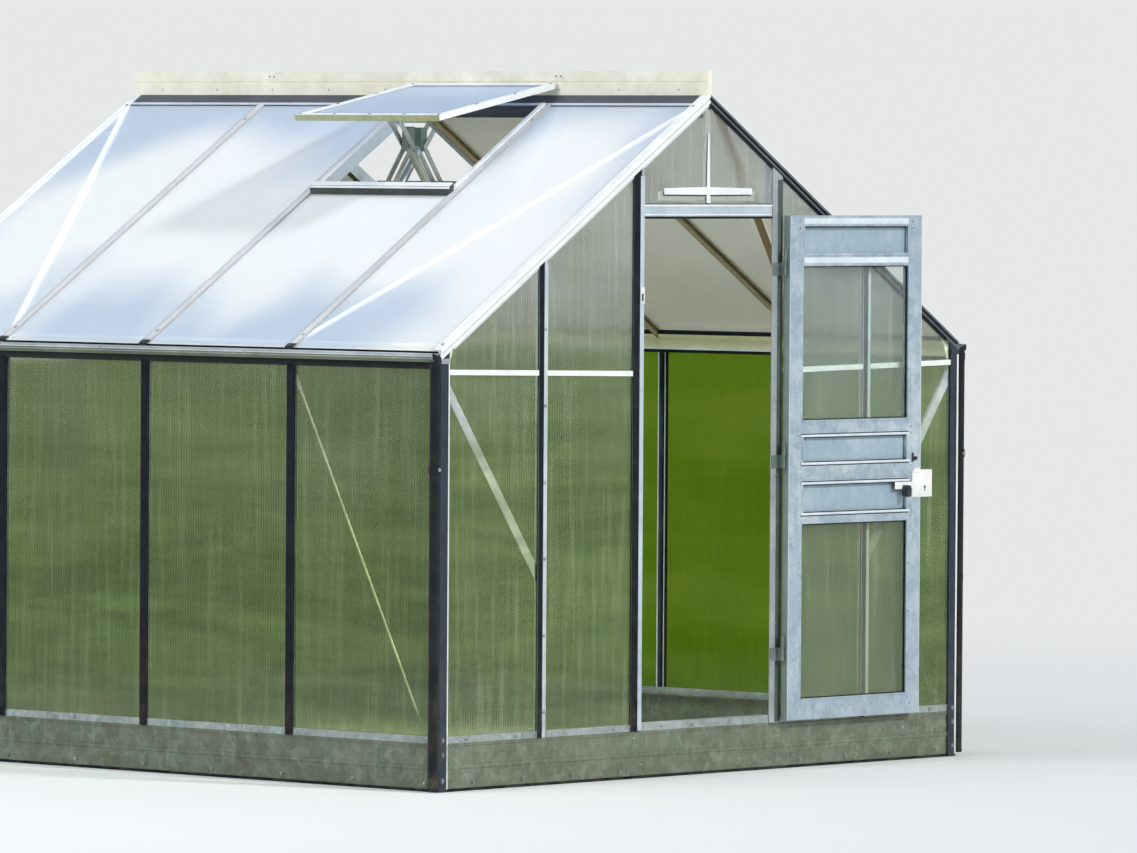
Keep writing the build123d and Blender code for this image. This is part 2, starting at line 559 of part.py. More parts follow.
lug_edge = [(x, leaf_under(x) - SHOE_THICK) for x in (head_x + aw, head_x - aw)]
lug = prism_y([(head_x - aw, head_z - aw), (head_x + aw, head_z - aw)] + lug_edge, opener_y - ob - ARM_THICK, opener_y + ob + ARM_THICK)
brackets = [shoe + ear, pad + lug]
nodes["opener_brackets"] = brackets + [turned(b) for b in brackets]
arms = [arm(x0, z0, x1, z1, y) for x0, z0, x1, z1 in ((foot_x + aw, foot_z, joint_x, joint_z), (joint_x, joint_z, head_x, head_z)) for y in (opener_y + ob, opener_y - ob - ARM_THICK)]
low_pair, high_pair = arms[:2], [Pos(0, y, 0) * a for a, y in zip(arms[2:], (ARM_THICK, -ARM_THICK))]
nodes["opener_arms"] = low_pair + high_pair + [turned(a) for a in low_pair + high_pair]
body = block(joint_x - ob, joint_x + ob, opener_y - ob, opener_y + ob, joint_z - ob, joint_z + OPENER_BODY_RISE)
cylinder_run = (CYLINDER_RUN ** 2 + CYLINDER_FALL ** 2) ** 0.5
cylinder_frame = Plane(origin=(joint_x, opener_y, joint_z), x_dir=(0, 1, 0), z_dir=(CYLINDER_RUN, 0, -CYLINDER_FALL))
cylinder = cylinder_frame * Cylinder(CYLINDER_R, cylinder_run, align=(Align.CENTER, Align.CENTER, Align.MIN)) - body
nodes["opener_bodies"] = [body, turned(body)]
nodes["opener_cylinders"] = [cylinder, turned(cylinder)]


# Braces: angles bolted behind the posts
def angle_brace(p0, p1, width, depth, keep):
    """A brace in a wall between two points in x and z, with a rib on its upper edge, cut to what it may fill."""
    angle = atan2(p1[1] - p0[1], p1[0] - p0[0])
    ux, uz = cos(angle), sin(angle)
    nx, nz = -uz, ux
    h = width / 2

    def band(n0, n1, y0, y1):
        ends = [(p0[0] - ux * h, p0[1] - uz * h), (p1[0] + ux * h, p1[1] + uz * h)]
        pts = [(ends[0][0] + nx * n0, ends[0][1] + nz * n0), (ends[1][0] + nx * n0, ends[1][1] + nz * n0),
               (ends[1][0] + nx * n1, ends[1][1] + nz * n1), (ends[0][0] + nx * n1, ends[0][1] + nz * n1)]
        return prism_y(pts, y0, y1)

    return (band(-h, h, depth, depth + BRACE_THICK) + band(h - BRACE_THICK, h, depth, depth + BRACE_RIB)) & keep


stud_lip = -STUD_X - STEM / 2 - SLOT_GAP
gable_room = block(-corner_core + SLOT_GAP, stud_lip, SEAT, BAR_DEPTH, SILL_TOP, EAVE_RAIL_LOW)
gable_brace = angle_brace((-HALF_WIDTH + CORNER_LEG - BRACE_LAP, EAVE_Z - GABLE_BRACE_TOP_DROP), (-STUD_X - INNER_LIP_WIDTH / 2, GABLE_BRACE_LOW_Z), BRACE_WIDTH, SEAT, gable_room)
nodes["gable_braces"] = [gable_brace, right(gable_brace), back(gable_brace), back(right(gable_brace))]

side_room = block(SEAT + BAR_DEPTH, BAY - STEM / 2 - SLOT_GAP, SEAT, BAR_DEPTH, SILL_TOP, EAVE_RAIL_LOW)
side_flat = angle_brace((SEAT + BAR_DEPTH + SIDE_BRACE_WIDTH, SILL_TOP), (BAY - INNER_LIP_WIDTH / 2, EAVE_Z - SIDE_BRACE_TOP_DROP), SIDE_BRACE_WIDTH, SEAT, side_room)
side_brace = Pos(-HALF_WIDTH, 0, 0) * Rot(0, 0, 90) * mirror(side_flat, Plane.XZ)
nodes["side_braces"] = [side_brace, right(side_brace), back(side_brace), back(right(side_brace))]

# Roof braces lie under the bars, from each ridge corner to the next frame's eave
slope_plane = Plane(origin=(0, 0, RIDGE_Z), x_dir=(cos(PITCH), 0, sin(PITCH)), z_dir=(-sin(PITCH), 0, cos(PITCH)))
u_top, v_top = -(RIDGE_FLANK) / cos(PITCH), VERGE_WIDTH / 2
u_low, v_low = -(HALF_WIDTH - EAVE_RAIL_WIDTH - SLOT_GAP) / cos(PITCH), BAY - STEM / 2 - SLOT_GAP
roof_angle = atan2(v_low - v_top, u_low - u_top)
across = (-sin(roof_angle) * BRACE_WIDTH / 2, cos(roof_angle) * BRACE_WIDTH / 2)
roof_face = make_face(Polyline((u_top + across[0], v_top + across[1], 0), (u_low + across[0], v_low + across[1], 0), (u_low - across[0], v_low - across[1], 0), (u_top - across[0], v_top - across[1], 0), close=True))
roof_brace = slope_plane.offset(-SEAT - BRACE_THICK) * extrude(roof_face, BRACE_THICK)
roof_room = block(-HALF_WIDTH + EAVE_RAIL_WIDTH, -WEB / 2, SLOT, BAY - STEM / 2, SILL_TOP, ABOVE)
roof_brace = roof_brace & roof_room
nodes["roof_braces"] = [roof_brace, right(roof_brace), back(roof_brace), back(right(roof_brace))]

# Gussets in the upper corners of the gables
gx0 = -HALF_WIDTH + CORNER_LEG - GUSSET_LAP
gusset = prism_y([(gx0, roof_z(gx0, SEAT) - GUSSET_DROP), (gx0 + GUSSET_ARM, roof_z(gx0 + GUSSET_ARM, SEAT)), (gx0, roof_z(gx0, SEAT))], SEAT, SEAT + BRACE_THICK) - gable_brace
nodes["gussets"] = [gusset, right(gusset), back(gusset), back(right(gusset))]

# Dark cover strips pressed on the outer flanges
strip_x = STUD_X + STUD_WIDTH / 2
cut = block(-HALF_WIDTH, HALF_WIDTH, -STRIP_PROUD, 0, KERB_HEIGHT, ABOVE) & UNDER_VERGE
front_strips = [block(x, x + width, -STRIP_PROUD, 0, KERB_HEIGHT, ABOVE) & cut
                for x, width in ((-strip_x, STRIP_WIDTH), (STUD_X - STUD_WIDTH / 2, STRIP_WIDTH), (-DOOR_HALF - DOOR_POST_WIDTH, POST_STRIP_WIDTH))]
back_strips = [back(front_strips[0]), back(right(front_strips[0]))]
side_strip = [block(-HALF_WIDTH - STRIP_PROUD, -HALF_WIDTH, y - SIDE_POST_WIDTH / 2 + LIP, y + SIDE_POST_WIDTH / 2 - LIP, KERB_HEIGHT, EAVE_RAIL_LOW) for y in post_y]
nodes["cover_strips"] = front_strips + back_strips + side_strip + [right(s) for s in side_strip]

# Door leaf
leaf_x0 = HINGE_X + HINGE_TO_LEAF
leaf_x1 = leaf_x0 + LEAF_WIDTH
leaf_back, leaf_front = -LEAF_CLEAR, -LEAF_CLEAR - LEAF_THICK
leaf_top = lintel_low + LEAF_OVER_LINTEL
rails = {name: (leaf_top - low, leaf_top - high) for name, (low, high) in RAILS.items()}
latch_low = leaf_top - LATCH_DROP
axis_y = (leaf_back + leaf_front) / 2
stiles = [block(leaf_x0, leaf_x0 + STILE, leaf_front, leaf_back, LEAF_LOW, leaf_top), block(leaf_x1 - STILE, leaf_x1, leaf_front, leaf_back, LEAF_LOW, leaf_top)]
nodes["door_stiles"] = stiles
in0, in1 = leaf_x0 + STILE, leaf_x1 - STILE
rail_bands = [(leaf_top - RAIL_TOP, leaf_top), rails["upper"], (LEAF_LOW, LEAF_LOW + BOTTOM_RAIL)]


def rolled_lip(z):
    """A half-round lip on the leaf's face, running a little onto both stiles."""
    x0, x1 = in0 - ROLL_OVER, in1 + ROLL_OVER
    rod = Pos((x0 + x1) / 2, leaf_front, z) * Rot(0, 90, 0) * Cylinder(ROLL_R, x1 - x0)
    return rod & block(x0, x1, leaf_front - ROLL_R, leaf_front, z - ROLL_R, z + ROLL_R)


def lipped_rail(name, below, above):
    """A rail with a rolled lip along its lower edge, its upper edge or both."""
    z0, z1 = rails[name]
    return fused([block(in0, in1, leaf_front, leaf_back, z0, z1)] + [rolled_lip(z) for z, wanted in ((z0 + ROLL_R, below), (z1 - ROLL_R, above)) if wanted])


lipped = [lipped_rail("middle", True, False), lipped_rail("lock", True, True), lipped_rail("low", False, True)]
nodes["door_rails"] = [block(in0, in1, leaf_front, leaf_back, z0, z1) for z0, z1 in rail_bands] + lipped
fields = [(rails["upper"][1], leaf_top - RAIL_TOP), (rails["lock"][1], rails["middle"][0]), (rails["low"][1], rails["lock"][0])]
nodes["door_sheets"] = [block(in0, in1, axis_y - DOOR_SHEET_THICK / 2, axis_y + DOOR_SHEET_THICK / 2, z0, z1) for z0, z1 in fields]
lights = [(rails["middle"][1], rails["upper"][0]), (LEAF_LOW + BOTTOM_RAIL, rails["low"][0])]
nodes["door_panes"] = [block(in0, in1, axis_y - DOOR_PANE / 2, axis_y + DOOR_PANE / 2, z0, z1) for z0, z1 in lights]

# Latch case on the free stile, with a long plate and an oval knob on the inner face
latch_case = block(leaf_x1, leaf_x1 + LATCH_REACH, leaf_front, leaf_back, latch_low, latch_low + LATCH_HEIGHT)
latch_face = block(leaf_x1 - LATCH_LAP, leaf_x1 + LATCH_REACH, leaf_front - PLATE_THICK, leaf_front, latch_low, latch_low + LATCH_HEIGHT)
nodes["door_latch"] = [latch_case + latch_face]
plate_low = leaf_top - PLATE_DROP
plate = block(leaf_x1 - LATCH_LAP - PLATE_LENGTH, leaf_x1 - LATCH_LAP, leaf_front - PLATE_THICK, leaf_front, plate_low, plate_low + PLATE_HEIGHT)
knob_face = Plane(origin=(leaf_x1 - KNOB_IN, leaf_front - PLATE_THICK, plate_low + KNOB_LAP - KNOB_LENGTH / 2), x_dir=(0, 0, 1), z_dir=(0, -1, 0))
knob = knob_face * extrude(SlotCenterToCenter(KNOB_LENGTH - 2 * KNOB_R, 2 * KNOB_R), KNOB_REACH)
nodes["door_handle"] = [plate + knob]

# Hinges: a fixed knuckle with its pin on the post, and a bored knuckle on the leaf
pins, leaves = [], []
hinge_heights = [LEAF_LOW + HINGE_INSET, (LEAF_LOW + leaf_top) / 2, leaf_top - HINGE_INSET]
for z in hinge_heights:
    fixed = fused([
        block(DOOR_HALF, HINGE_X + HINGE_PLATE, -HINGE_PLATE, 0, z, z + KNUCKLE_HEIGHT),
        block(HINGE_X - HINGE_PLATE, HINGE_X + HINGE_PLATE, axis_y, -HINGE_PLATE, z, z + KNUCKLE_HEIGHT),
        Pos(HINGE_X, axis_y, z) * Cylinder(KNUCKLE_R, KNUCKLE_HEIGHT, align=(Align.CENTER, Align.CENTER, Align.MIN)),
        Pos(HINGE_X, axis_y, z) * Cylinder(PIN_R, 2 * KNUCKLE_HEIGHT, align=(Align.CENTER, Align.CENTER, Align.MIN)),
    ])
    pins.append(fixed)
    z1 = z + KNUCKLE_HEIGHT + KNUCKLE_GAP
    moving = block(HINGE_X, leaf_x0, axis_y - HINGE_PLATE, axis_y + HINGE_PLATE, z1, z1 + KNUCKLE_HEIGHT)
    moving = moving + Pos(HINGE_X, axis_y, z1) * Cylinder(KNUCKLE_R, KNUCKLE_HEIGHT, align=(Align.CENTER, Align.CENTER, Align.MIN))
    moving = moving - Pos(HINGE_X, axis_y, z1) * Cylinder(PIN_R + PIN_PLAY, KNUCKLE_HEIGHT, align=(Align.CENTER, Align.CENTER, Align.MIN))
    leaves.append(moving)
nodes["hinge_pins"] = pins
nodes["door_hinges"] = leaves

# Catch on the left door post
catch_z = lintel_low - CATCH_DROP
catch = block(-DOOR_HALF, -DOOR_HALF + FLANGE, FLANGE, FLANGE + CATCH_DEPTH, catch_z - CATCH_HEIGHT / 2, catch_z + CATCH_HEIGHT / 2)
nodes["door_catch"] = [catch]

# The part's origin is under the middle of its overall box
everything = Compound([s for shapes in nodes.values() for shape in shapes for s in shape.solids()])
box = everything.bounding_box()
shift = Pos(-(box.min.X + box.max.X) / 2, -(box.min.Y + box.max.Y) / 2, -box.min.Z)
for name, shapes in nodes.items():
    solids = [s for shape in shapes for s in (shift * shape).solids()]
    export_step(solids[0] if len(solids) == 1 else Compound(solids), f"parts/{name}.step")
print("origin moved by", shift.position, "hinge at", (shift * Pos(HINGE_X, axis_y, 0)).position, "size", box.size)
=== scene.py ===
import math
import bmesh
import bpy
from mathutils import Matrix, Vector


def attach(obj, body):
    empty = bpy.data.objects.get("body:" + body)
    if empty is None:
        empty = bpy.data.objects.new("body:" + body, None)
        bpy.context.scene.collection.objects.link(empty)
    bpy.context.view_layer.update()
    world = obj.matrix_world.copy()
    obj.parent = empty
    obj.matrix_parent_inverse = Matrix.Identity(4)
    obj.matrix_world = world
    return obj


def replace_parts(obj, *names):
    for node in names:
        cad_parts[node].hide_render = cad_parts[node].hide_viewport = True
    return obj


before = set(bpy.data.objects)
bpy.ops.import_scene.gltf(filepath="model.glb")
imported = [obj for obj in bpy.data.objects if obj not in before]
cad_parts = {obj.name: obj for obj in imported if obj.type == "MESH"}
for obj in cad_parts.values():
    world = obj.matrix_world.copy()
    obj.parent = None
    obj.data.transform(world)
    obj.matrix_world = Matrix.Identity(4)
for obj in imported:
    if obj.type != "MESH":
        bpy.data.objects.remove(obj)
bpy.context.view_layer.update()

# ---- sizes, in millimetres, with the door gable at y 0
MOVE_Y = -1201.75
BAY, BAYS = 615.0, 4
LENGTH = BAY * BAYS
HALF = 1205.0
EAVE, RIDGE = 1313.0, 2082.0
PITCH = math.atan2(RIDGE - EAVE, HALF)
COS, SIN, TAN = math.cos(PITCH), math.sin(PITCH), math.tan(PITCH)
KERB, SILL = 144.0, 165.0
# From the middle of the gable: a door post's two edges, and the middle of a stud
DOOR, POST, STUD = 300.0, 346.0, 752.5
LINTEL, LINTEL_TOP = 1705.95, 1741.95
# From the middle of the roof: foot and head of the trim on the verges and the roof bars
VERGE_FOOT, VERGE_HEAD = 1203.0, 9.0
BAR_FOOT, BAR_HEAD = 1211.0, 60.0
GUTTER_FACE, GUTTER_TOP = 1243.0, 1302.0
PIPE_X, PIPE_Y = 1221.3, 8.0
# The open leaf: hinge edge, free edge, front face, bottom and top
LEAF0, LEAF1 = 344.0, 979.0
LEAF_Y, LEAF_LOW, LEAF_TOP = -34.0, 150.0, 1709.95
# The vents: opening angle, and where their hinge line lies
VENT_ANGLE = math.radians(10.9)
VENT_X, VENT_Z = 13.3, 2106.0
VENT_COS, VENT_SIN = math.cos(VENT_ANGLE), math.sin(VENT_ANGLE)

UP, FRONT, BACK = Vector((0, 0, 1)), Vector((0, -1, 0)), Vector((0, 1, 0))
SIDES = (-1, 1)
# Each gable: its y, which way is in, and its outward direction
ENDS = ((0.0, 1, FRONT), (LENGTH, -1, BACK))
# The bars and side posts between the bays
BARS = (BAY, 2 * BAY, 3 * BAY)
SCREW_ROWS = range(220, 1600, 230)


def P(x, y, z):
    """A point in the row frame, in metres."""
    return Vector((x / 1000.0, (y + MOVE_Y) / 1000.0, z / 1000.0))


def roof_z(x):
    return RIDGE - abs(x) * TAN


def R(side, x, y, up=0.0):
    """A point on a slope: side -1 left or 1 right, x from the middle, up off the roof plane."""
    return P(side * (abs(x) + up * SIN), y, roof_z(x) + up * COS)


def V(side, y, u, t):
    """A point on a vent leaf: u down from the hinge, t off its middle plane."""
    return P(side * (VENT_X + u * VENT_COS + t * VENT_SIN), y, VENT_Z - u * VENT_SIN + t * VENT_COS)


def slope_axes(side):
    """Up-slope direction and outward normal."""
    return Vector((-side * COS, 0, SIN)), Vector((side * SIN, 0, COS))


def corners(a0, a1, b0, b1):
    """The corners of a rectangle, in turn."""
    return ((a0, b0), (a1, b0), (a1, b1), (a0, b1))


def sideways(side):
    return Vector((side, 0, 0))


def along_y(length):
    return Vector((0, length / 1000.0, 0))


# ---- mesh building
EDGE_ANGLE, BEVEL_ANGLE = math.radians(35), math.radians(40)


class Batch:
    """Collects many small solids into one named piece."""

    def __init__(self, name, material, body="greenhouse", slot="aluminium", bevel=0.0):
        self.name, self.material, self.body, self.slot, self.bevel = name, material, body, slot, bevel
        self.bm = bmesh.new()

    def hull(self, bottom, top):
        """A prism between two rings of points in step."""
        a = [self.bm.verts.new(p) for p in bottom]
        b = [self.bm.verts.new(p) for p in top]
        n = len(a)
        self.bm.faces.new(list(reversed(a)))
        self.bm.faces.new(b)
        for i in range(n):
            j = (i + 1) % n
            self.bm.faces.new((a[i], a[j], b[j], b[i]))

    def extrude(self, ring, vector):
        self.hull(ring, [p + vector for p in ring])

    def box(self, centre, size, x=Vector((1, 0, 0)), z=UP):
        """A box in metres, with its own x and z directions."""
        x, z = x.normalized(), z.normalized()
        y = z.cross(x)
        hx, hy, hz = size[0] / 2, size[1] / 2, size[2] / 2
        self.extrude([centre + x * sx * hx + y * sy * hy - z * hz for sx, sy in corners(-1, 1, -1, 1)], z * 2 * hz)

    def block(self, x0, x1, y0, y1, z0, z1):
        """A box in the part's millimetres. Each pair may come in either order."""
        (x0, x1), (y0, y1), (z0, z1) = sorted((x0, x1)), sorted((y0, y1)), sorted((z0, z1))
        self.extrude([P(x, y, z0) for x, y in corners(x0, x1, y0, y1)], UP * ((z1 - z0) / 1000.0))

    def upright(self, x0, x1, y0, y1, z0, top):
        """An upright whose top is cut to the right slope, top being its height at the ridge."""
        ring = corners(x0, x1, y0, y1)
        self.hull([P(x, y, z0) for x, y in ring], [P(x, y, top - x * TAN) for x, y in ring])

    def lathe(self, base, axis, rings, n, turn=0.0):
        """A turned solid: rings of (distance along the axis, radius), in metres. A last radius of 0 closes it."""
        axis = axis.normalized()
        side = axis.orthogonal().normalized()
        other = axis.cross(side)
        loops = []
        for d, r in rings:
            turns = [turn + 2 * math.pi * i / n for i in range(n if r > 0 else 1)]
            points = [base + axis * d + (side * math.cos(a) + other * math.sin(a)) * r for a in turns]
            loops.append([self.bm.verts.new(p) for p in points])
        for a, b in zip(loops, loops[1:]):
            for i in range(n):
                j = (i + 1) % n
                self.bm.faces.new((a[i], a[j], b[0]) if len(b) == 1 else (a[i], a[j], b[j], b[i]))
        self.bm.faces.new(list(reversed(loops[0])))
        if len(loops[-1]) > 1:
            self.bm.faces.new(loops[-1])

    def rod(self, p0, p1, r, n=12):
        self.lathe(p0, p1 - p0, [(0, r), ((p1 - p0).length, r)], n)

    def pan(self, at, normal, r=0.0045, h=0.0028):
        """A pan-head screw on a washer."""
        washer = [(0, r * 1.55), (0.0008, r * 1.55)]
        head = [(0.0009, r), (h * 0.6, r), (h, r * 0.62), (h, r * 0.28)]
        self.lathe(at, normal, washer + head + [(h * 0.55, r * 0.22), (h * 0.55, 0)], 12)

    def rivet(self, at, normal, r=0.0042, h=0.0022):
        self.lathe(at, normal, [(0, r), (h * 0.5, r * 0.9), (h * 0.9, r * 0.55), (h, 0.0)], 12)

    def hexbolt(self, at, normal, r, h):
        """A hexagon head on a round washer."""
        self.lathe(at, normal, [(0, r * 1.5), (0.0012, r * 1.5), (0.0013, 0)], 16)
        self.lathe(at + normal.normalized() * 0.001, normal, [(0, r), (h * 0.8, r), (h, r * 0.8), (h, 0)], 6, 0.3)

    def done(self):
        """Makes the object: smooth faces, a bevel where one is asked for, and split edges."""
        bmesh.ops.recalc_face_normals(self.bm, faces=self.bm.faces)
        mesh = bpy.data.meshes.new(self.name)
        self.bm.to_mesh(mesh)
        self.bm.free()
        obj = bpy.data.objects.new(self.name, mesh)
        bpy.context.scene.collection.objects.link(obj)
        mesh.materials.append(self.material)
        for p in mesh.polygons:
            p.use_smooth = True
        if self.bevel:
            mod = obj.modifiers.new("bevel", "BEVEL")
            mod.width, mod.segments = self.bevel, 2
            mod.limit_method, mod.angle_limit = "ANGLE", BEVEL_ANGLE
        obj.modifiers.new("edges", "EDGE_SPLIT").split_angle = EDGE_ANGLE
        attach(obj, self.body)
        return obj


def finish(*batches):
    for batch in batches:
        batch.done()


# ---- materials
def srgb(r, g, b):
    """A colour given as it looks on screen, 0 to 255."""
    def f(v):
        v /= 255.0
        return v / 12.92 if v <= 0.04045 else ((v + 0.055) / 1.055) ** 2.4
    return (f(r), f(g), f(b))


class Mat:
    """A node material with short calls for the nodes used here."""

    def __init__(self, name):
        self.m = bpy.data.materials.new(name)
        self.m.use_nodes = True
        self.t = self.m.node_tree
        self.t.nodes.clear()
        self.out = self.node("ShaderNodeOutputMaterial")
        self.b = self.node("ShaderNodeBsdfPrincipled")
        self.link(self.b.outputs[0], self.out.inputs[0])
        self.co = self.node("ShaderNodeTexCoord").outputs["Object"]

    def node(self, kind, **values):
        """A new node, with a link or a value for each named input."""
        n = self.t.nodes.new(kind)
        for name, value in values.items():
            self.feed(n.inputs[name], value)
        return n

    def link(self, a, b):
        self.t.links.new(a, b)

    def feed(self, socket, value):
        """Gives an input a link, a colour or a number."""
        if isinstance(value, bpy.types.NodeSocket):
            self.link(value, socket)
        else:
            socket.default_value = (*value, 1) if socket.type == "RGBA" else value

    def set(self, **values):
        for name, value in values.items():
            self.feed(self.b.inputs[name.replace("_", " ")], value)

    def math(self, op, *values, clamp=False):
        n = self.node("ShaderNodeMath")
        n.operation, n.use_clamp = op, clamp
        for socket, value in zip(n.inputs, values):
            self.feed(socket, value)
        return n.outputs[0]

    def add(self, a, b):
        return self.math("ADD", a, b)

    def less(self, a, b):
        return self.math("SUBTRACT", a, b)

    def mul(self, a, b):
        return self.math("MULTIPLY", a, b)

    def mad(self, a, b, c):
        """a times b, plus c."""
        return self.math("MULTIPLY_ADD", a, b, c)

    def size(self, a):
        return self.math("ABSOLUTE", a)

    def stretch(self, *scale):
        return self.node("ShaderNodeMapping", Scale=scale, Vector=self.co).outputs[0]

    def noise(self, scale, detail, rough, co=None):
        n = self.node("ShaderNodeTexNoise", Scale=scale, Detail=detail, Roughness=rough, Vector=co or self.co)
        return n.outputs["Fac"]

    def voronoi(self, scale, co):
        return self.node("ShaderNodeTexVoronoi", Scale=scale, Vector=co).outputs["Color"]

    def ramp(self, fac, stops, ease="LINEAR"):
        n = self.node("ShaderNodeValToRGB")
        n.color_ramp.interpolation = ease
        e = n.color_ramp.elements
        while len(e) < len(stops):
            e.new(0.5)
        for i, (p, c) in enumerate(stops):
            e[i].position = p
            e[i].color = (c, c, c, 1)
        self.link(fac, n.inputs[0])
        return n.outputs[0]

    def step(self, fac, a, b, ease="LINEAR"):
        """0 up to a, and 1 from b on."""
        return self.ramp(fac, [(a, 0.0), (b, 1.0)], ease)

    def drop(self, fac, a, b, ease="LINEAR"):
        """1 up to a, and 0 from b on."""
        return self.ramp(fac, [(a, 1.0), (b, 0.0)], ease)

    def mix(self, fac, a, b):
        n = self.node("ShaderNodeMix")
        n.data_type = "RGBA"
        for i, value in ((0, fac), (6, a), (7, b)):
            self.feed(n.inputs[i], value)
        return n.outputs[2]

    def lay(self, under, over, mask, amount):
        """Lays one colour over another, as much as the mask times the amount says."""
        return self.mix(self.mul(mask, amount), under, over)

    def grime(self, col, tone, amount, least, height, scale, detail):
        """Lays patchy dirt over a colour, more of it below a height. Gives the dirt's mask too."""
        low = self.drop(self.xyz()[2], 0.0, height)
        patches = self.step(self.noise(scale, detail, 0.7), 0.42, 0.7)
        dirt = self.math("MULTIPLY", patches, self.mad(low, amount, least), clamp=True)
        return self.mix(dirt, col, srgb(*tone)), dirt

    def xyz(self, co=None):
        n = self.node("ShaderNodeSeparateXYZ")
        self.link(co or self.co, n.inputs[0])
        return n.outputs

    def bump(self, height, distance, strength):
        return self.node("ShaderNodeBump", Height=height, Distance=distance, Strength=strength).outputs[0]


def mix_shaders(tree, fac, a, b, out):
    """Sends a mix of two shader nodes to an output node."""
    n = tree.nodes.new("ShaderNodeMixShader")
    for source, socket in zip((fac, a.outputs[0], b.outputs[0]), n.inputs):
        tree.links.new(source, socket)
    tree.links.new(n.outputs[0], out.inputs[0])


def metal(name, base, dark, light, metallic=0.55, rough=0.45, grain=(1, 1, 14), spots=0.35, grime=0.5, under=None):
    """Weathered extruded metal: drawn lines along the bar, dull patches, pale oxide spots and grime low down; where an
    under colour is given, painted shade on the faces that don't look up off the slope.
    """
    m = Mat(name)
    base, dark, light = srgb(*base), srgb(*dark), srgb(*light)
    patches = m.noise(5.0, 5, 0.6)
    lines = m.noise(420.0, 2, 0.5, m.stretch(*[1.0 / g for g in grain]))
    oxide = m.step(m.noise(160.0, 3, 0.65), 0.66, 0.74)
    col = m.mix(m.step(patches, 0.35, 0.68), dark, base)
    col = m.lay(col, light, m.step(lines, 0.45, 0.75), 0.25)
    col = m.lay(col, light, oxide, spots)
    col, dirt = m.grime(col, (92, 88, 68), grime, 0.14, 0.55, 16.0, 6)
    if under:
        # Painted shade: the faces that don't look up off the slope take the darker under colour, as if the light missed
        # them
        n = m.xyz(m.node("ShaderNodeNewGeometry").outputs["Normal"])
        facing = m.add(m.mul(m.size(n[0]), SIN), m.mul(n[2], COS))
        col = m.mix(m.drop(facing, 0.3, 0.7), col, srgb(*under))
    rough_map = m.math("ADD", m.mul(patches, 0.22), m.mad(dirt, 0.3, rough - 0.1), clamp=True)
    m.set(Base_Color=col, Metallic=metallic, Roughness=rough_map)
    m.set(Normal=m.bump(m.mad(lines, 0.5, m.mul(oxide, 0.8)), 0.00025, 0.5))
    return m.m


def zinc(name, base, dark, light, size=26.0, white=0.6, metallic=0.35, grime=0.35):
    """Hot-dipped zinc: leaf-shaped crystals of differing grey, white bloom, runs and a few bright chips."""
    m = Mat(name)
    base, dark, light = srgb(*base), srgb(*dark), srgb(*light)
    warp = m.node("ShaderNodeVectorMath")
    warp.operation = "MULTIPLY_ADD"
    swirl = m.node("ShaderNodeTexNoise", Scale=38.0, Vector=m.co).outputs["Color"]
    for socket, value in zip(warp.inputs, (swirl, (0.02, 0.02, 0.02), m.co)):
        m.feed(socket, value)
    large = m.xyz(m.voronoi(1000.0 / size, warp.outputs[0]))[0]
    small = m.xyz(m.voronoi(2600.0 / size, warp.outputs[0]))[1]
    crystal = m.add(m.mul(large, 0.65), m.mul(small, 0.35))
    bloom = m.step(m.noise(7.0, 6, 0.68), 0.50, 0.72)
    runs = m.step(m.noise(60.0, 4, 0.6, m.stretch(1, 1, 0.07)), 0.56, 0.72)
    chips = m.step(m.noise(85.0, 3, 0.6), 0.70, 0.73)
    col = m.mix(crystal, dark, base)
    col = m.lay(col, light, bloom, white)
    col = m.lay(col, light, runs, 0.28)
    col = m.lay(col, srgb(238, 243, 246), chips, 0.75)
    col = m.grime(col, (96, 98, 76), grime, 0.08, 0.6, 14.0, 6)[0]
    m.set(Base_Color=col, Metallic=metallic, Roughness=m.mad(crystal, -0.22, m.mad(bloom, 0.18, 0.5)))
    m.set(Normal=m.bump(m.add(m.mul(crystal, 0.35), m.mul(chips, 0.5)), 0.0003, 0.45))
    return m.m


def plain(name, base, light, rough=0.5, metallic=0.0, scale=30.0, amount=0.4, gloss=0.5):
    """Moulded or rubber trim, dusty in places."""
    m = Mat(name)
    n = m.noise(scale, 6, 0.65)
    col = m.lay(srgb(*base), srgb(*light), m.step(n, 0.42, 0.75), amount)
    col = m.grime(col, (110, 104, 82), 0.3, 0.06, 0.45, 18.0, 5)[0]
    m.set(Base_Color=col, Metallic=metallic, Roughness=m.mad(n, 0.25, rough - 0.1), Specular_IOR_Level=gloss)
    m.set(Normal=m.bump(m.noise(scale * 8, 3, 0.6), 0.0004, 0.4))
    return m.m


# In metres: from rib to rib of a sheet, the height where the painted glare on the roof is strongest, and the line of a
# roof brace
RIB_PITCH = 0.0105
GLARE_Z = 1.66
BRACE_SLOPE, BRACE_START = 0.538, -0.015


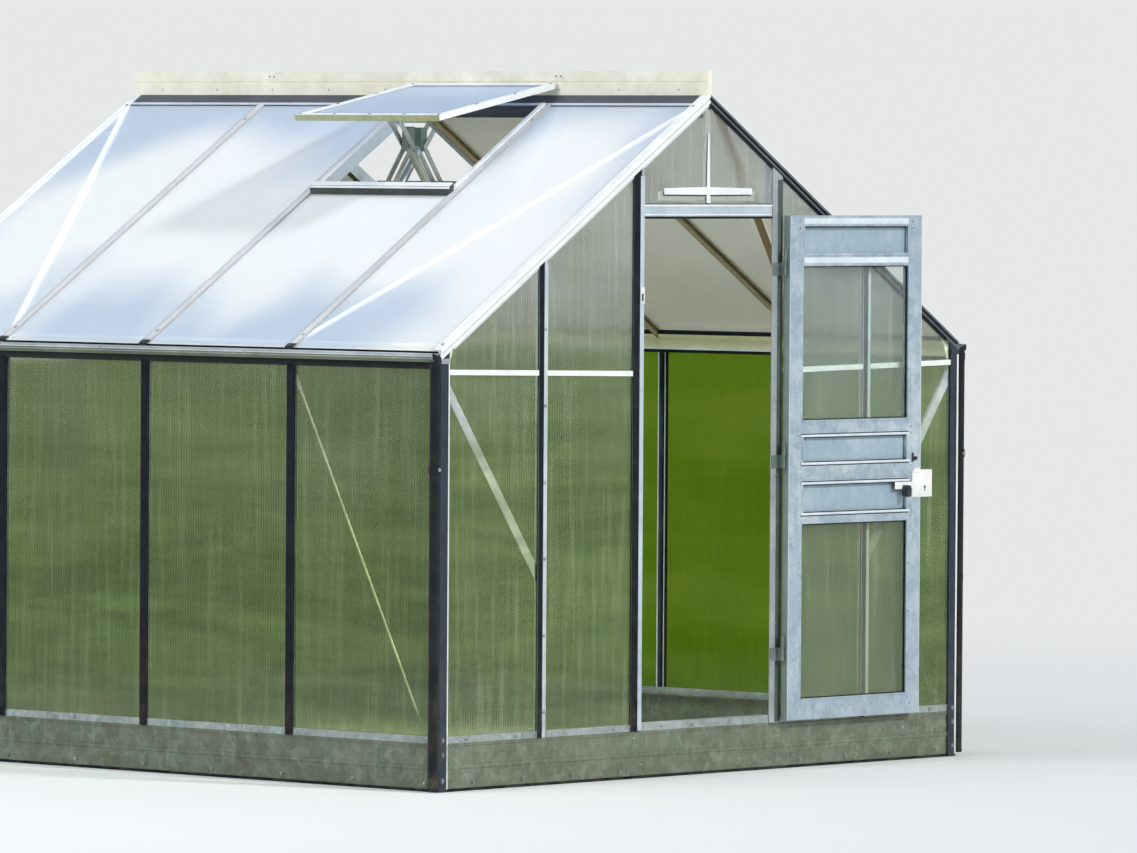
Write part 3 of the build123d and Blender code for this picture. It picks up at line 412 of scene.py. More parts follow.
def sheet(name, across, clear, tint, low_tint, milk, haze, rough=0.16, lens=1.0, dust=0.22, algae=0.5,
          along=(1, 1, 0.05), passed=(0.92, 0.93, 0.92), lines=1.0, far=None, glare=0.0, bands=0.0, gloss=0.5,
          turn=(0.15, 1.0), brace_highlight=0.0, waves=0.0):
    """Twin-wall sheet: two skins joined by ribs, so fine lines run along it; haze, dust, runs and green growth; where
    asked, painted glare patches and a painted highlight over the roof braces.
    """
    m = Mat(name)
    tint, low_tint, milk = srgb(*tint), srgb(*low_tint), srgb(*milk)
    axes = m.xyz()
    z = axes[2]
    off = m.size(m.less(m.math("FRACT", m.math("DIVIDE", axes[across], RIB_PITCH)), 0.5))
    rib = m.ramp(off, [(0.0, 1.0), (0.085, 1.0), (0.15, 0.0)], "EASE")
    belly = m.step(off, 0.0, 0.5, "EASE")
    streaks = m.noise(46.0, 5, 0.62, m.stretch(*along))
    runs = m.step(streaks, 0.50, 0.74)
    broad = m.noise(3.2, 4, 0.6)
    growth_edge = m.mad(m.noise(30.0, 4, 0.6, m.stretch(*along)), 0.55, m.mul(z, -1.0))
    growth = m.mul(m.step(growth_edge, 0.0, 0.12), algae)
    rise = m.step(m.mul(z, 0.5), turn[0] / 2, turn[1] / 2)
    col = m.mix(rise, low_tint, tint)
    if waves:
        # Below the crossbars the twin skins throw the light in short level ripples
        ripple = m.step(m.noise(15.0, 4, 0.6, m.stretch(0.14, 0.14, 1.0)), 0.38, 0.64)
        col = m.lay(col, srgb(120, 146, 84), ripple, m.mad(rise, -0.8 * waves, waves))
    if far:
        # The wall away from the sun has more green growth in its flutes, and less dust
        away = m.math("GREATER_THAN", axes[0], 0.0)
        col = m.mix(away, col, m.mix(rise, srgb(*far[0]), srgb(*far[1])))
        milk = m.mix(away, milk, srgb(112, 142, 40))
    if bands:
        # The growth stands in soft level bands
        level = m.step(m.noise(2.4, 3, 0.55, m.stretch(0.35, 0.35, 2.2)), 0.38, 0.66, "EASE")
        col = m.lay(col, srgb(136, 154, 66), level, bands)
    col = m.lay(col, milk, runs, dust)
    col = m.lay(col, milk, m.step(broad, 0.45, 0.75), dust * 0.6)
    if glare:
        # Painted light and shade: broad milkier and clearer patches, strongest about the roof's middle height, stand
        # for the sky's glare and the shade on the sheet
        middle = m.size(m.less(z, GLARE_Z))
        patch = m.less(m.noise(1.1, 2, 0.5, m.stretch(1, 1.3, 1)), m.mul(middle, 0.9))
        col = m.lay(col, milk, m.step(patch, 0.15, 0.45, "EASE"), glare)
    col = m.mix(growth, col, srgb(86, 104, 52))
    col = m.lay(col, milk, rib, 0.14 * lines)
    specks = m.step(m.noise(120.0, 3, 0.6), 0.70, 0.75)
    col = m.lay(col, srgb(196, 196, 180), specks, 0.25)
    veil = m.add(m.mul(rib, 0.07 * lines), m.add(m.mul(growth, 0.22), m.mul(runs, haze)))
    trans = m.math("SUBTRACT", clear, veil, clamp=True)
    if brace_highlight:
        # A brace lies against the sheet from below; a painted highlight, a pale line on the sheet over it, stands for
        # the sunlit brace showing through
        end = m.less(LENGTH / 2000.0, m.size(m.less(axes[1], (LENGTH / 2 + MOVE_Y) / 1000.0)))
        gap = m.less(end, m.mad(m.size(axes[0]), BRACE_SLOPE, BRACE_START))
        brace_line = m.drop(m.mul(m.size(gap), 20.0), 0.17, 0.34, "EASE")
        col = m.lay(col, srgb(252, 253, 254), brace_line, brace_highlight)
        trans = m.mul(trans, m.mad(brace_line, -0.5, 1.0))
    m.set(Base_Color=col, Roughness=m.mad(streaks, 0.10 * lines, m.mad(rib, 0.06 * lines, rough - 0.04)))
    m.set(Transmission_Weight=trans, IOR=1.46, Specular_IOR_Level=gloss)
    m.set(Normal=m.bump(m.add(belly, m.mul(broad, 2.5 / lens)), 0.0002 * lens, 0.18 * lines))
    # Light passes through the sheet, so it throws next to no shadow
    through = m.node("ShaderNodeBsdfTransparent", Color=passed)
    mix_shaders(m.t, m.node("ShaderNodeLightPath").outputs["Is Shadow Ray"], m.b, through, m.out)
    return m.m


GRAIN_X, GRAIN_Y, GRAIN_SLOPE, GRAIN_CAST = (14, 1, 1), (1, 14, 1), (6, 1, 6), (3, 3, 3)
ALU = metal("bar_aluminium", (196, 204, 206), (158, 168, 172), (226, 231, 232))
ALU_Y = metal("bar_aluminium_along_y", (192, 202, 208), (160, 172, 180), (222, 228, 230), grain=GRAIN_Y)
# Painted light: aluminium near white, as its faces and edges look where the sun falls on them; used for the sunlit
# verges and for bright edges and lines elsewhere
ALU_PAINTED_SUNLIT = metal("aluminium_painted_sunlit", (246, 249, 249), (232, 237, 239), (251, 252, 252), metallic=0.05, rough=0.5,
                  grain=GRAIN_SLOPE, spots=0.2)
# Painted light: the crossbars are near white with no metal, so that they look sunlit
CROSSBAR_PAINTED_LIT = metal("crossbar_aluminium_painted_lit", (248, 250, 247), (234, 239, 236), (252, 253, 252), metallic=0.0,
                   grain=GRAIN_X, spots=0.15)
# Painted light: the grey of the corner caps where the sun falls; the shaded caps take the dark post colour
CAP_PAINTED_SUNLIT = metal("cap_painted_sunlit", (176, 176, 184), (150, 150, 160), (206, 206, 210), metallic=0.3, grain=(4, 4, 4))
STUD_PALE = metal("stud_pale", (208, 219, 222), (184, 198, 202), (236, 242, 243), metallic=0.15, rough=0.42, spots=0.25)
LINTEL_BLUE = metal("lintel_aluminium", (200, 216, 225), (176, 195, 207), (232, 240, 244), metallic=0.1, rough=0.42,
                    grain=GRAIN_X, spots=0.25)
# Painted shade: the aluminium posts are dark slate, for the shade on them and the dark things they reflect
POST_PAINTED_SHADE = metal("post_aluminium_painted_shade", (48, 60, 76), (30, 40, 54), (90, 104, 118), metallic=0.35, rough=0.42, spots=0.15)
# Painted shade: the shaded copy of the verge aluminium, for the right verges
VERGE_PAINTED_SHADE = metal("verge_shaded", (122, 132, 136), (92, 102, 108), (176, 184, 186), metallic=0.5, rough=0.42,
                   grain=GRAIN_SLOPE, spots=0.2)
# The roof bars' under colour is painted shade on their faces that don't look up the slope
BAR_LILAC = metal("roof_bar_aluminium", (222, 222, 226), (200, 200, 206), (240, 240, 242), metallic=0.1, rough=0.5,
                  grain=GRAIN_SLOPE, spots=0.2, under=(112, 104, 78))
ALU_MID = metal("jamb_aluminium", (150, 164, 160), (116, 130, 124), (190, 200, 196), metallic=0.4)
# Painted light: the eave rails are near-white cream, so that they look lit from inside
EAVE_PAINTED_LIT = metal("eave_aluminium_painted_lit", (253, 251, 222), (243, 240, 203), (254, 253, 244), metallic=0.0, rough=0.5,
                   grain=GRAIN_Y)
# Painted light: the latch and keeper are near white, as sunlit metal looks
LATCH_PAINTED_SUNLIT = metal("latch_painted_sunlit", (242, 245, 242), (226, 230, 228), (250, 252, 250), metallic=0.05,
                   grain=GRAIN_CAST, grime=0.15)
# Painted highlight: a near-white for the lit lips and edges of the door, the eave rails and the side posts
HIGHLIGHT_WHITE = metal("painted_highlight_white", (232, 242, 247), (206, 220, 228), (250, 252, 253), metallic=0.1, rough=0.4,
                  grain=GRAIN_X, grime=0.15)
CREST = metal("crest_cream", (253, 250, 232), (241, 236, 213), (254, 252, 245), metallic=0.05, rough=0.55,
              grain=GRAIN_Y, spots=0.1, grime=0.2)
# Painted shade: the ridge beam is dark, for its recess in the shade under the crest
RIDGE_PAINTED_SHADE = metal("ridge_painted_shade", (88, 94, 106), (64, 72, 84), (140, 148, 158), metallic=0.4, grain=GRAIN_Y, spots=0.2)
# Painted shade: the vent sills are dark, for their upright faces in shade
SILL_PAINTED_SHADE = metal("vent_sill_painted_shade", (74, 82, 82), (50, 58, 58), (130, 138, 136), metallic=0.35, rough=0.5,
                  grain=GRAIN_Y, spots=0.2)
# Painted reflection: the vent beads are a pale olive, for the green they reflect
BEAD_PAINTED_REFLECTION = metal("vent_bead_painted_reflection", (176, 180, 140), (150, 156, 112), (236, 240, 232), metallic=0.25,
                  grain=(4, 4, 4), spots=0.2)
# Roof braces: near white with next to no metal so that they look sunlit through the sheets, painted light; their under
# colour is painted shade on the faces that don't look up the slope
ROOF_BRACE = metal("roof_brace", (248, 250, 250), (236, 240, 242), (252, 253, 253), metallic=0.05, rough=0.5,
                   grain=(8, 8, 8), spots=0.2, under=(150, 122, 94))
FLANK_PALE = metal("ridge_flank_pale", (206, 217, 228), (188, 201, 214), (228, 235, 241), metallic=0.1, rough=0.5,
                   grain=GRAIN_Y, spots=0.2)
SHOE = metal("opener_grey", (128, 142, 128), (96, 110, 98), (186, 196, 184), metallic=0.3, grain=GRAIN_CAST)
ARM_METAL = metal("opener_bright", (198, 202, 196), (150, 156, 150), (232, 234, 230), metallic=0.6, rough=0.35,
                  grain=GRAIN_CAST)
# Painted shade: olive grey for the gutters' lower and shaded faces, with the green they reflect
GUTTER_PAINTED_SHADE = metal("gutter_painted_shade", (128, 136, 116), (98, 108, 86), (160, 166, 148), metallic=0.3, rough=0.4,
                     grain=GRAIN_Y)
SCREW = metal("screw_steel", (196, 202, 204), (120, 126, 128), (236, 238, 238), metallic=0.85, rough=0.3,
              grain=(1, 1, 1), spots=0.5)
# Painted light: the braces are near-white zinc with no metal, so that they look sunlit through the sheets; the gable
# and side ones are tinted against the sheets' colour
SIDE_BRACE = zinc("side_brace_zinc", (244, 232, 255), (228, 214, 250), (250, 242, 255), 16.0, 0.4, 0.0, 0.2)
BRACE = zinc("brace_zinc", (244, 247, 243), (226, 232, 226), (250, 252, 250), 16.0, 0.4, 0.0, 0.2)
GABLE_BRACE = zinc("gable_brace_zinc", (208, 202, 254), (186, 182, 238), (228, 224, 254), 16.0, 0.4, 0.0, 0.2)
DOOR_ZINC = zinc("door_zinc", (186, 202, 212), (150, 170, 184), (222, 232, 236), white=0.7)
HINGE_GREY = zinc("hinge_zinc", (126, 140, 136), (96, 110, 108), (164, 174, 170), 12.0)
DOOR_SHEET = zinc("door_sheet_zinc", (174, 196, 207), (154, 180, 194), (206, 222, 230), 34.0, 0.55, grime=0.1)
SILL_ZINC = zinc("sill_zinc", (178, 190, 190), (136, 150, 150), (216, 224, 222), 18.0, grime=0.7)
KERB_ZINC = zinc("kerb_zinc", (132, 142, 122), (92, 102, 84), (176, 184, 166), 30.0, 0.35, 0.2, 1.1)
BLACK_METAL = plain("ironmongery_dark", (46, 50, 54), (112, 110, 104), 0.42, metallic=0.4)
PIPE = plain("pipe_plastic", (12, 19, 21), (34, 44, 48), 0.36, scale=9.0, amount=0.3, gloss=0.3)
RUBBER = plain("glazing_rubber", (12, 19, 27), (48, 58, 66), 0.6, scale=22.0, amount=0.3, gloss=0.15)
# Painted shade: grey green for the door leaf's hinge-side edge, which faces away from the light
EDGE_PAINTED_SHADE = plain("painted_shade_grey_green", (132, 148, 142), (164, 176, 170), 0.6, scale=14.0, amount=0.5)
STRIP_GREEN = plain("strip_grey_green", (66, 80, 76), (104, 118, 112), scale=18.0)
# Painted light: a pale copy of the seal for the verge grooves in the sun
SEAL_PAINTED_SUNLIT = plain("seal_painted_sunlit", (206, 208, 206), (226, 228, 226), 0.6, scale=22.0, amount=0.5)
GREY_SEAL = plain("seal_grey", (170, 174, 176), (206, 208, 208), 0.6, scale=22.0, amount=0.5)
UPSLOPE = (0.05, 1, 0.05)
SHEET_SIDE = sheet("twin_wall_side", 1, 0.965, (206, 210, 188), (191, 210, 150), (190, 196, 168), 0.12, rough=0.10,
                   lens=3.2, dust=0.42, algae=0.3, far=((78, 114, 10), (86, 120, 14)), bands=0.28, gloss=0.15,
                   turn=(0.7, 1.25), waves=0.6)
SHEET_GABLE = sheet("twin_wall_gable", 0, 0.965, (238, 242, 244), (200, 217, 160), (206, 212, 198), 0.13, rough=0.08,
                    lens=3.2, dust=0.42, algae=0.25, gloss=0.2, turn=(0.9, 1.5), waves=0.5)
SHEET_BACK = sheet("twin_wall_back", 0, 0.95, (104, 130, 52), (78, 112, 18), (136, 154, 96), 0.08, algae=0.4,
                   bands=0.4, gloss=0.15, turn=(0.5, 1.4))
# Painted light and shade: the left roof sheet is whiter and bluer, for the sun and sky on that slope; the shady right
# one is a greyer, tan copy, for the shade
SHEET_ROOF_SUNLIT = sheet("twin_wall_roof", 1, 0.46, (206, 219, 235), (206, 219, 235), (251, 252, 253), 0.01, rough=0.20,
                   dust=0.03, algae=0.0, along=UPSLOPE, passed=(0.90, 0.91, 0.92), lines=0.18, glare=0.9, brace_highlight=0.8)
SHEET_SHADY = sheet("twin_wall_roof_shady", 1, 0.54, (214, 212, 203), (214, 212, 203), (236, 235, 230), 0.01,
                    rough=0.20, dust=0.04, algae=0.0, along=UPSLOPE, passed=(0.90, 0.91, 0.90), lines=0.18,
                    glare=0.6, gloss=0.3, brace_highlight=0.6)
SHEET_VENT = sheet("twin_wall_vent", 1, 0.46, (193, 215, 241), (193, 215, 241), (232, 240, 248), 0.02, rough=0.24,
                   dust=0.05, algae=0.0, along=UPSLOPE, passed=(0.46, 0.50, 0.56), lines=0.3, glare=0.5)
SHEET_DOOR = sheet("twin_wall_door", 0, 0.96, (212, 221, 221), (190, 202, 176), (220, 224, 216), 0.09, rough=0.10,
                   dust=0.2, algae=0.25, gloss=0.4, turn=(0.7, 1.3))

# Painted light and shade among these: the left verges, vent frames and curbs, crossbars and eave rails are painted lit;
# the right verges, posts, ridge beam and vent sills are painted shade
paint = {
    "corner_posts": POST_PAINTED_SHADE, "side_posts": POST_PAINTED_SHADE, "front_studs": STUD_PALE, "back_studs": ALU,
    "door_post_left": ALU, "door_post_right": ALU_MID, "door_lintel": LINTEL_BLUE, "eave_rails": EAVE_PAINTED_LIT,
    "gutter_left": ALU_Y, "gutter_right": ALU_Y, "downpipes": PIPE, "verges_left": ALU_PAINTED_SUNLIT,
    "verges_right": VERGE_PAINTED_SHADE, "ridge_beam": RIDGE_PAINTED_SHADE, "ridge_crest": CREST, "roof_bars_left": BAR_LILAC,
    "roof_bars_right": BAR_LILAC, "side_sheets": SHEET_SIDE, "front_sheets_low": SHEET_GABLE,
    "front_sheets_high": SHEET_GABLE, "front_sheet_top": SHEET_GABLE, "back_sheets": SHEET_BACK,
    "crossbars": CROSSBAR_PAINTED_LIT, "top_mullion": BRACE, "roof_sheets_left": SHEET_ROOF_SUNLIT, "roof_sheets_right": SHEET_SHADY,
    "vent_sills": SILL_PAINTED_SHADE, "vent_curbs": ALU_PAINTED_SUNLIT, "vent_frames": ALU_PAINTED_SUNLIT, "vent_sheets": SHEET_VENT,
    "opener_brackets": ARM_METAL, "opener_arms": ARM_METAL, "opener_bodies": SHOE, "opener_cylinders": ARM_METAL,
    "gable_braces": GABLE_BRACE, "side_braces": SIDE_BRACE, "roof_braces": ROOF_BRACE, "gussets": BRACE,
    "cover_strips": RUBBER, "kerb_ends": KERB_ZINC, "kerb_sides": KERB_ZINC, "sill_ends": SILL_ZINC,
    "sill_sides": SILL_ZINC, "door_catch": BLACK_METAL, "hinge_pins": HINGE_GREY, "door_stiles": DOOR_ZINC,
    "door_rails": DOOR_ZINC, "door_sheets": DOOR_SHEET, "door_panes": SHEET_DOOR, "door_latch": LATCH_PAINTED_SUNLIT,
    "door_handle": BLACK_METAL, "door_hinges": HINGE_GREY,
}
for name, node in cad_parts.items():
    node.data.materials.clear()
    node.data.materials.append(paint[name])

# ---- small parts
# Screw and bolt heads: radius and height, in metres
ROOF_SCREW, STUD_SCREW = (0.0036, 0.002), (0.0036, 0.0022)
SILL_SCREW, VENT_SCREW = (0.0042, 0.0026), (0.0038, 0.0024)
KERB_BOLT, BRACE_BOLT = (0.005, 0.004), (0.0055, 0.0045)


def fasteners(name, body="greenhouse"):
    return Batch(name, SCREW, body, "galvanised")


# Verges: seals in the groove and along the sheets below, pale on the sunny verges as painted light and black on the
# others, partly as painted shade; a painted highlight along the top of the shaded ones; and screws
seals = Batch("verge_seals", RUBBER, slot="rubber")
pale = Batch("verge_seals_sunny_side", SEAL_PAINTED_SUNLIT, slot="rubber")
crown = Batch("verge_painted_highlights", ALU_PAINTED_SUNLIT)
caps = fasteners("verge_screws")
CROWN = ((-0.4, 0.9), (-0.9, -0.6), (5.0, -0.6), (5.0, 0.9))
for side in SIDES:
    out = slope_axes(side)[1]
    for y, s, _ in ENDS:
        # The front left and the back right verge face the sun
        sunny = side == -s
        # Each strip: two depths below the roof plane, two distances in from the gable, and its foot
        for d0, d1, y0, y1, foot in ((9.2, 15.8, -0.9, 1.0, VERGE_FOOT), (24.2, 26.8, -0.7, 1.0, 1160.0),
                                     (27.0, 33.0, 1.6, 4.4, 1160.0)):
            ring = [R(side, foot, y + s * a, -d) for d, a in corners(d0, d1, y0, y1)]
            # Pale seals on the sunny verges are painted light; the black ones elsewhere are partly painted shade
            (pale if sunny else seals).extrude(ring, R(side, VERGE_HEAD, y) - R(side, foot, y))
        # Painted highlight: a bright crown along the top of each shaded verge
        if not sunny:
            ring = [R(side, VERGE_FOOT, y + s * a, up) for a, up in CROWN]
            crown.extrude(ring, R(side, VERGE_HEAD, y) - R(side, VERGE_FOOT, y))
        for x in (1180.0, 60.0):
            caps.pan(R(side, x, y + s * 16.0), out, *ROOF_SCREW)
finish(seals, pale, crown, caps)

# Roof bars: pale seals along both edges, screws, and a dark foot clip over the gutter
bar_seals = Batch("roof_bar_seals", GREY_SEAL, slot="rubber")
bar_screws = fasteners("roof_bar_screws")
bar_feet = Batch("roof_bar_feet", BLACK_METAL, slot="dark_metal", bevel=0.001)
for side in SIDES:
    up, out = slope_axes(side)
    for bar in BARS:
        for e in SIDES:
            ring = [R(side, BAR_FOOT, bar + e * 13.5 + a, b) for a, b in corners(-1.5, 1.5, 0.6, -4.2)]
            bar_seals.extrude(ring, R(side, BAR_HEAD, 0) - R(side, BAR_FOOT, 0))
        for x in (1150.0, 130.0):
            bar_screws.pan(R(side, x, bar), out, *ROOF_SCREW)
        bar_feet.box(R(side, 1204.0, bar, 1.4), (0.020, 0.034, 0.004), up, out)
        bar_feet.box(P(side * 1216.5, bar, 1301.0), (0.004, 0.028, 0.014))
finish(bar_seals, bar_screws, bar_feet)

# Crest: joint straps and rivets, with a pale strip along each flank of the ridge
crest = Batch("crest_straps", CREST, bevel=0.0006)
flanks = Batch("ridge_flank_strips", FLANK_PALE)
crest_rivets = fasteners("crest_rivets")
for y in (BAY, 3 * BAY):
    for side in SIDES:
        crest.block(side * 8.0, side * 8.9, y - 18, y + 18, 2122, 2150)
        for dy in (-10, 10):
            crest_rivets.rivet(P(side * 8.8, y + dy, 2136), sideways(side))
for side in SIDES:
    flanks.extrude([R(side, x, 31.0, up) for x, up in corners(47.0, 56.6, -3.9, 0.5)], along_y(LENGTH - 62.0))
for y in range(120, 2400, 246):
    for side in SIDES:
        crest_rivets.rivet(P(side * 8.0, y, 2094), sideways(side), 0.0032, 0.0016)
finish(crest, flanks, crest_rivets)

# Gutters: beads on the face, a band of painted shade and a painted highlight line on it, an olive strip along the lower
# edge painted with shade and reflected green, end caps, a painted shadow on the wall below, clip screws and the eave
# closure
gut = Batch("gutter_trim", ALU_Y, bevel=0.0004)
gut_caps_and_shadow = Batch("gutter_end_caps_and_painted_shadow", PIPE, slot="dark_plastic", bevel=0.0008)
gut_screws = fasteners("gutter_screws")
gut_low = Batch("gutter_undersides_painted_shade", GUTTER_PAINTED_SHADE)
gut_shade = Batch("gutter_shaded_faces", GUTTER_PAINTED_SHADE)
gut_line = Batch("gutter_painted_highlights", ALU_PAINTED_SUNLIT)
closure = Batch("eave_closures", RUBBER, slot="rubber")
END_CAP = ((1206.0, 1278.0), (1233.6, 1277.6), (1242.6, 1286.6), (1242.8, 1301.5), (1237.0, 1301.8), (1206.0, 1291.5))
UNDER_EDGE = ((0.0, 1286.0), (9.0, 1277.0), (9.6, 1277.6), (0.6, 1286.6))
for side in SIDES:
    x = side * GUTTER_FACE
    for back, z, r, n in ((2.2, GUTTER_TOP - 1.2, 0.0026, 12), (0.0, 1287.2, 0.0009, 8)):
        gut.rod(P(x - side * back, 3, z), P(x - side * back, LENGTH - 3, z), r, n)
    # Painted shade and a painted highlight line on the gutter's face
    for batch, z0, z1, proud in ((gut_shade, 1287.8, 1293.2, 0.25), (gut_line, 1293.2, 1294.6, 0.5)):
        batch.block(x, x + side * proud, 3, LENGTH - 3, z0, z1)
    clear = Vector((side * 0.0004, 0, -0.0004))
    # The olive strip along the lower edge is painted shade and reflected green
    gut_low.extrude([P(x - side * back, 2.6, z) + clear for back, z in UNDER_EDGE], along_y(LENGTH - 5.2))
    closure.extrude([R(side, a, 6.0, up) for a, up in corners(1212.2, 1214.8, 0.3, -10.0)], along_y(LENGTH - 12.0))
    # Painted shadow: a dark band on the wall under the gutter
    gut_caps_and_shadow.block(side * 1205.4, side * 1206.6, 40, LENGTH - 40, 1255, 1276.6)
    for y, s, _ in ENDS:
        gut_caps_and_shadow.extrude([P(side * a, y - s * 1.6, z) for a, z in END_CAP], along_y(s * 1.6))
    for y in (155.0, 770.0, 1385.0, 2000.0, 2330.0):
        gut_screws.pan(P(x, y, 1294.0), sideways(side), 0.003, 0.0016)
finish(gut, gut_low, gut_shade, gut_line, closure, gut_caps_and_shadow, gut_screws)

# Downpipes: socket collars and clip screws
pipes = Batch("pipe_collars", PIPE, slot="dark_plastic")
pipe_screws = fasteners("pipe_clip_screws")
for side in SIDES:
    for z, h, r in ((1252.0, 0.024, 0.0176), (560.0, 0.018, 0.0168), (14.0, 0.008, 0.0169)):
        rings = [(0, 0.0155), (0.001, r), (h - 0.001, r), (h, 0.0155)]
        pipes.lathe(P(side * PIPE_X, PIPE_Y, z), UP, rings, 28)
    pipe_screws.hexbolt(P(side * PIPE_X, PIPE_Y - 19.0, 958), FRONT, 0.0042, 0.004)
finish(pipes, pipe_screws)

# Corner posts: a painted highlight along an edge of the front leg, the closing cap under the verge, grey as painted
# light on the sunny corners and in the posts' painted shade on the others, and bolts
edges = Batch("corner_painted_highlights", ALU_PAINTED_SUNLIT, bevel=0.0004)
corner_caps = Batch("corner_caps", CAP_PAINTED_SUNLIT, bevel=0.0012)
caps_painted_shade = Batch("corner_caps_shaded", POST_PAINTED_SHADE, bevel=0.0012)
corner_bolts = fasteners("corner_bolts")
for side in SIDES:
    for y, s, face in ENDS:
        sunny = side == -s
        x0, x1, top = (1167.0, 1171.5, 1283) if sunny else (1197.5, 1204.6, 1290)
        edges.block(side * x0, side * x1, y - s * 1.6, y + s * 0.5, 8, top)
        cap = corner_caps if sunny else caps_painted_shade
        cap.block(side * 1168.0, side * 1204.0, y - s * 2.4, y + s * 0.5, 1271, 1287)
        for z in (34, 110, 154):
            corner_bolts.hexbolt(P(side * 1188.0, y, z), face, *KERB_BOLT)
        for z in (60, 120):
            corner_bolts.pan(P(side * HALF, y + s * 26.0, z), sideways(side))
finish(edges, corner_caps, caps_painted_shade, corner_bolts)

# Eave rails from inside: painted shade as dark bands at the edges of both flanges, the lower one under the gutter, and
# a painted highlight line over the lower one
inner_edges = Batch("eave_inner_painted_shade", RUBBER, slot="rubber")
inner_line = Batch("eave_inner_painted_highlights", HIGHLIGHT_WHITE)
FLANGE_TOP = roof_z(1165) - 11.9
for side in SIDES:
    for batch, z0, z1 in ((inner_edges, 1254.0, 1264.0), (inner_line, 1264.0, 1268.5),
                          (inner_edges, FLANGE_TOP - 14.0, FLANGE_TOP)):
        batch.block(side * 1163.6, side * 1165.2, 40, LENGTH - 40, z0, z1)
finish(inner_edges, inner_line)

# Studs and door posts: a painted highlight along the studs' flange, with seals against the sheets, and screws
flange = Batch("stud_flange_highlights", ALU_PAINTED_SUNLIT, bevel=0.0003)
studs_seal = Batch("stud_seals", RUBBER, slot="rubber")
stud_screws = fasteners("stud_screws")
SEAL = 2.2
for side in SIDES:
    top, outer, inner = roof_z(STUD) - 40, side * 770.5, side * 734.5
    flange.block(inner - side * 1.2, inner + side * 0.2, -0.9, 3.5, SILL, top)
    for e, d in ((outer, side), (inner, -side)):
        studs_seal.block(e, e + d * SEAL, 1.6, 4.2, SILL, top)
for z in SCREW_ROWS:
    for x in (-742.0, 742.0, -310.0, 322.0):
        stud_screws.pan(P(x, 0, z), FRONT, *STUD_SCREW)
for side in SIDES:
    studs_seal.block(side * POST, side * POST + side * SEAL, 1.6, 4.2, SILL, roof_z(POST) - 40)
for x in (-STUD, -323.0, 323.0, STUD):
    for d in SIDES:
        e = x + d * 18.0
        studs_seal.block(e, e + d * SEAL, LENGTH - 4.2, LENGTH - 1.6, SILL, roof_z(x) - 44)
    for z in SCREW_ROWS:
        stud_screws.pan(P(x + (8 if x < 0 else -8), LENGTH, z), BACK, *STUD_SCREW)
finish(flange, studs_seal, stud_screws)

# Right door post: below the lintel its stem stands back behind the flange, clear of the doorway
post = Batch("door_post_right_bar", ALU)
seat_top, verge_top = roof_z(0) - 13.0 / COS, roof_z(0) - 27.0 / COS
post.upright(DOOR, POST, 0.0, 4.0, KERB, verge_top)
post.upright(319.0, 327.0, 4.0, 10.0, SILL, seat_top)
post.upright(311.0, 335.0, 10.0, 13.0, SILL, seat_top)
post.block(321.0, 325.0, 13.0, 19.5, SILL, LINTEL)
post.upright(DOOR, 304.0, 4.0, 33.0, LINTEL, seat_top)
post.block(304.0, 319.0, 4.0, 9.0, LINTEL + 3, LINTEL_TOP - 3)
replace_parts(post.done(), "door_post_right")

# Strips on both door posts, the left one pale as painted light on the post's sunlit flange, and the keeper plate, near
# white as painted light, with its slot on the left one
strip = Batch("door_post_strip", STRIP_GREEN, slot="rubber")
strip.block(324.0, POST - 0.4, -1.2, 0.3, KERB + 2, 1820.0)
pale_flange = Batch("door_post_left_flange", LINTEL_BLUE, bevel=0.0003)
pale_flange.block(-318.5, -300.4, -2.7, 0.2, KERB + 2, 1830.0)
keeper = Batch("door_keeper_plate", LATCH_PAINTED_SUNLIT, slot="galvanised", bevel=0.0004)
keeper.block(-317.0, -299.2, -4.0, -2.6, 1443.0, 1493.0)
keeper_slot = Batch("door_keeper_slot", BLACK_METAL, slot="dark_metal")
keeper_slot.block(-313.0, -305.0, -4.3, -3.8, 1451.0, 1473.0)
finish(strip, pale_flange, keeper, keeper_slot)

# Painted highlights on the outside of the sheet over the door, for the lit bars behind it: two arms, and a stem that
# narrows upwards
top_highlights = Batch("top_sheet_painted_highlights", ALU_PAINTED_SUNLIT)
for side in SIDES:
    top_highlights.hull(*([P(side * 0.02, 2.9, z), P(side * 205.0, 3.4, tip), P(side * 205.0, 4.2, tip), P(side * 0.02, 4.2, z)]
                 for z, tip in ((1773.0, 1774.0), (1797.0, 1793.0))))
top_highlights.hull(*([P(x, y, z) for x, y in corners(-half, half, front, 4.2)]
             for half, front, z in ((9.0, 2.6, LINTEL_TOP + 6), (3.0, 3.4, 1960.0))))
top_highlights.done()

# Side posts from inside: painted highlights on the edges of the lip, and of the stem
lips_in = Batch("side_post_inner_highlights", HIGHLIGHT_WHITE)
for side in SIDES:
    for bar in BARS:
        for y in (bar - 10.5, bar + 10.5):
            lips_in.block(side * 1191.2, side * 1192.0, y - 1.5, y + 1.5, SILL, 1260)
        lips_in.block(side * 1171.2, side * 1172.4, bar - 2.0, bar + 2.0, SILL, 1260)
lips_in.done()

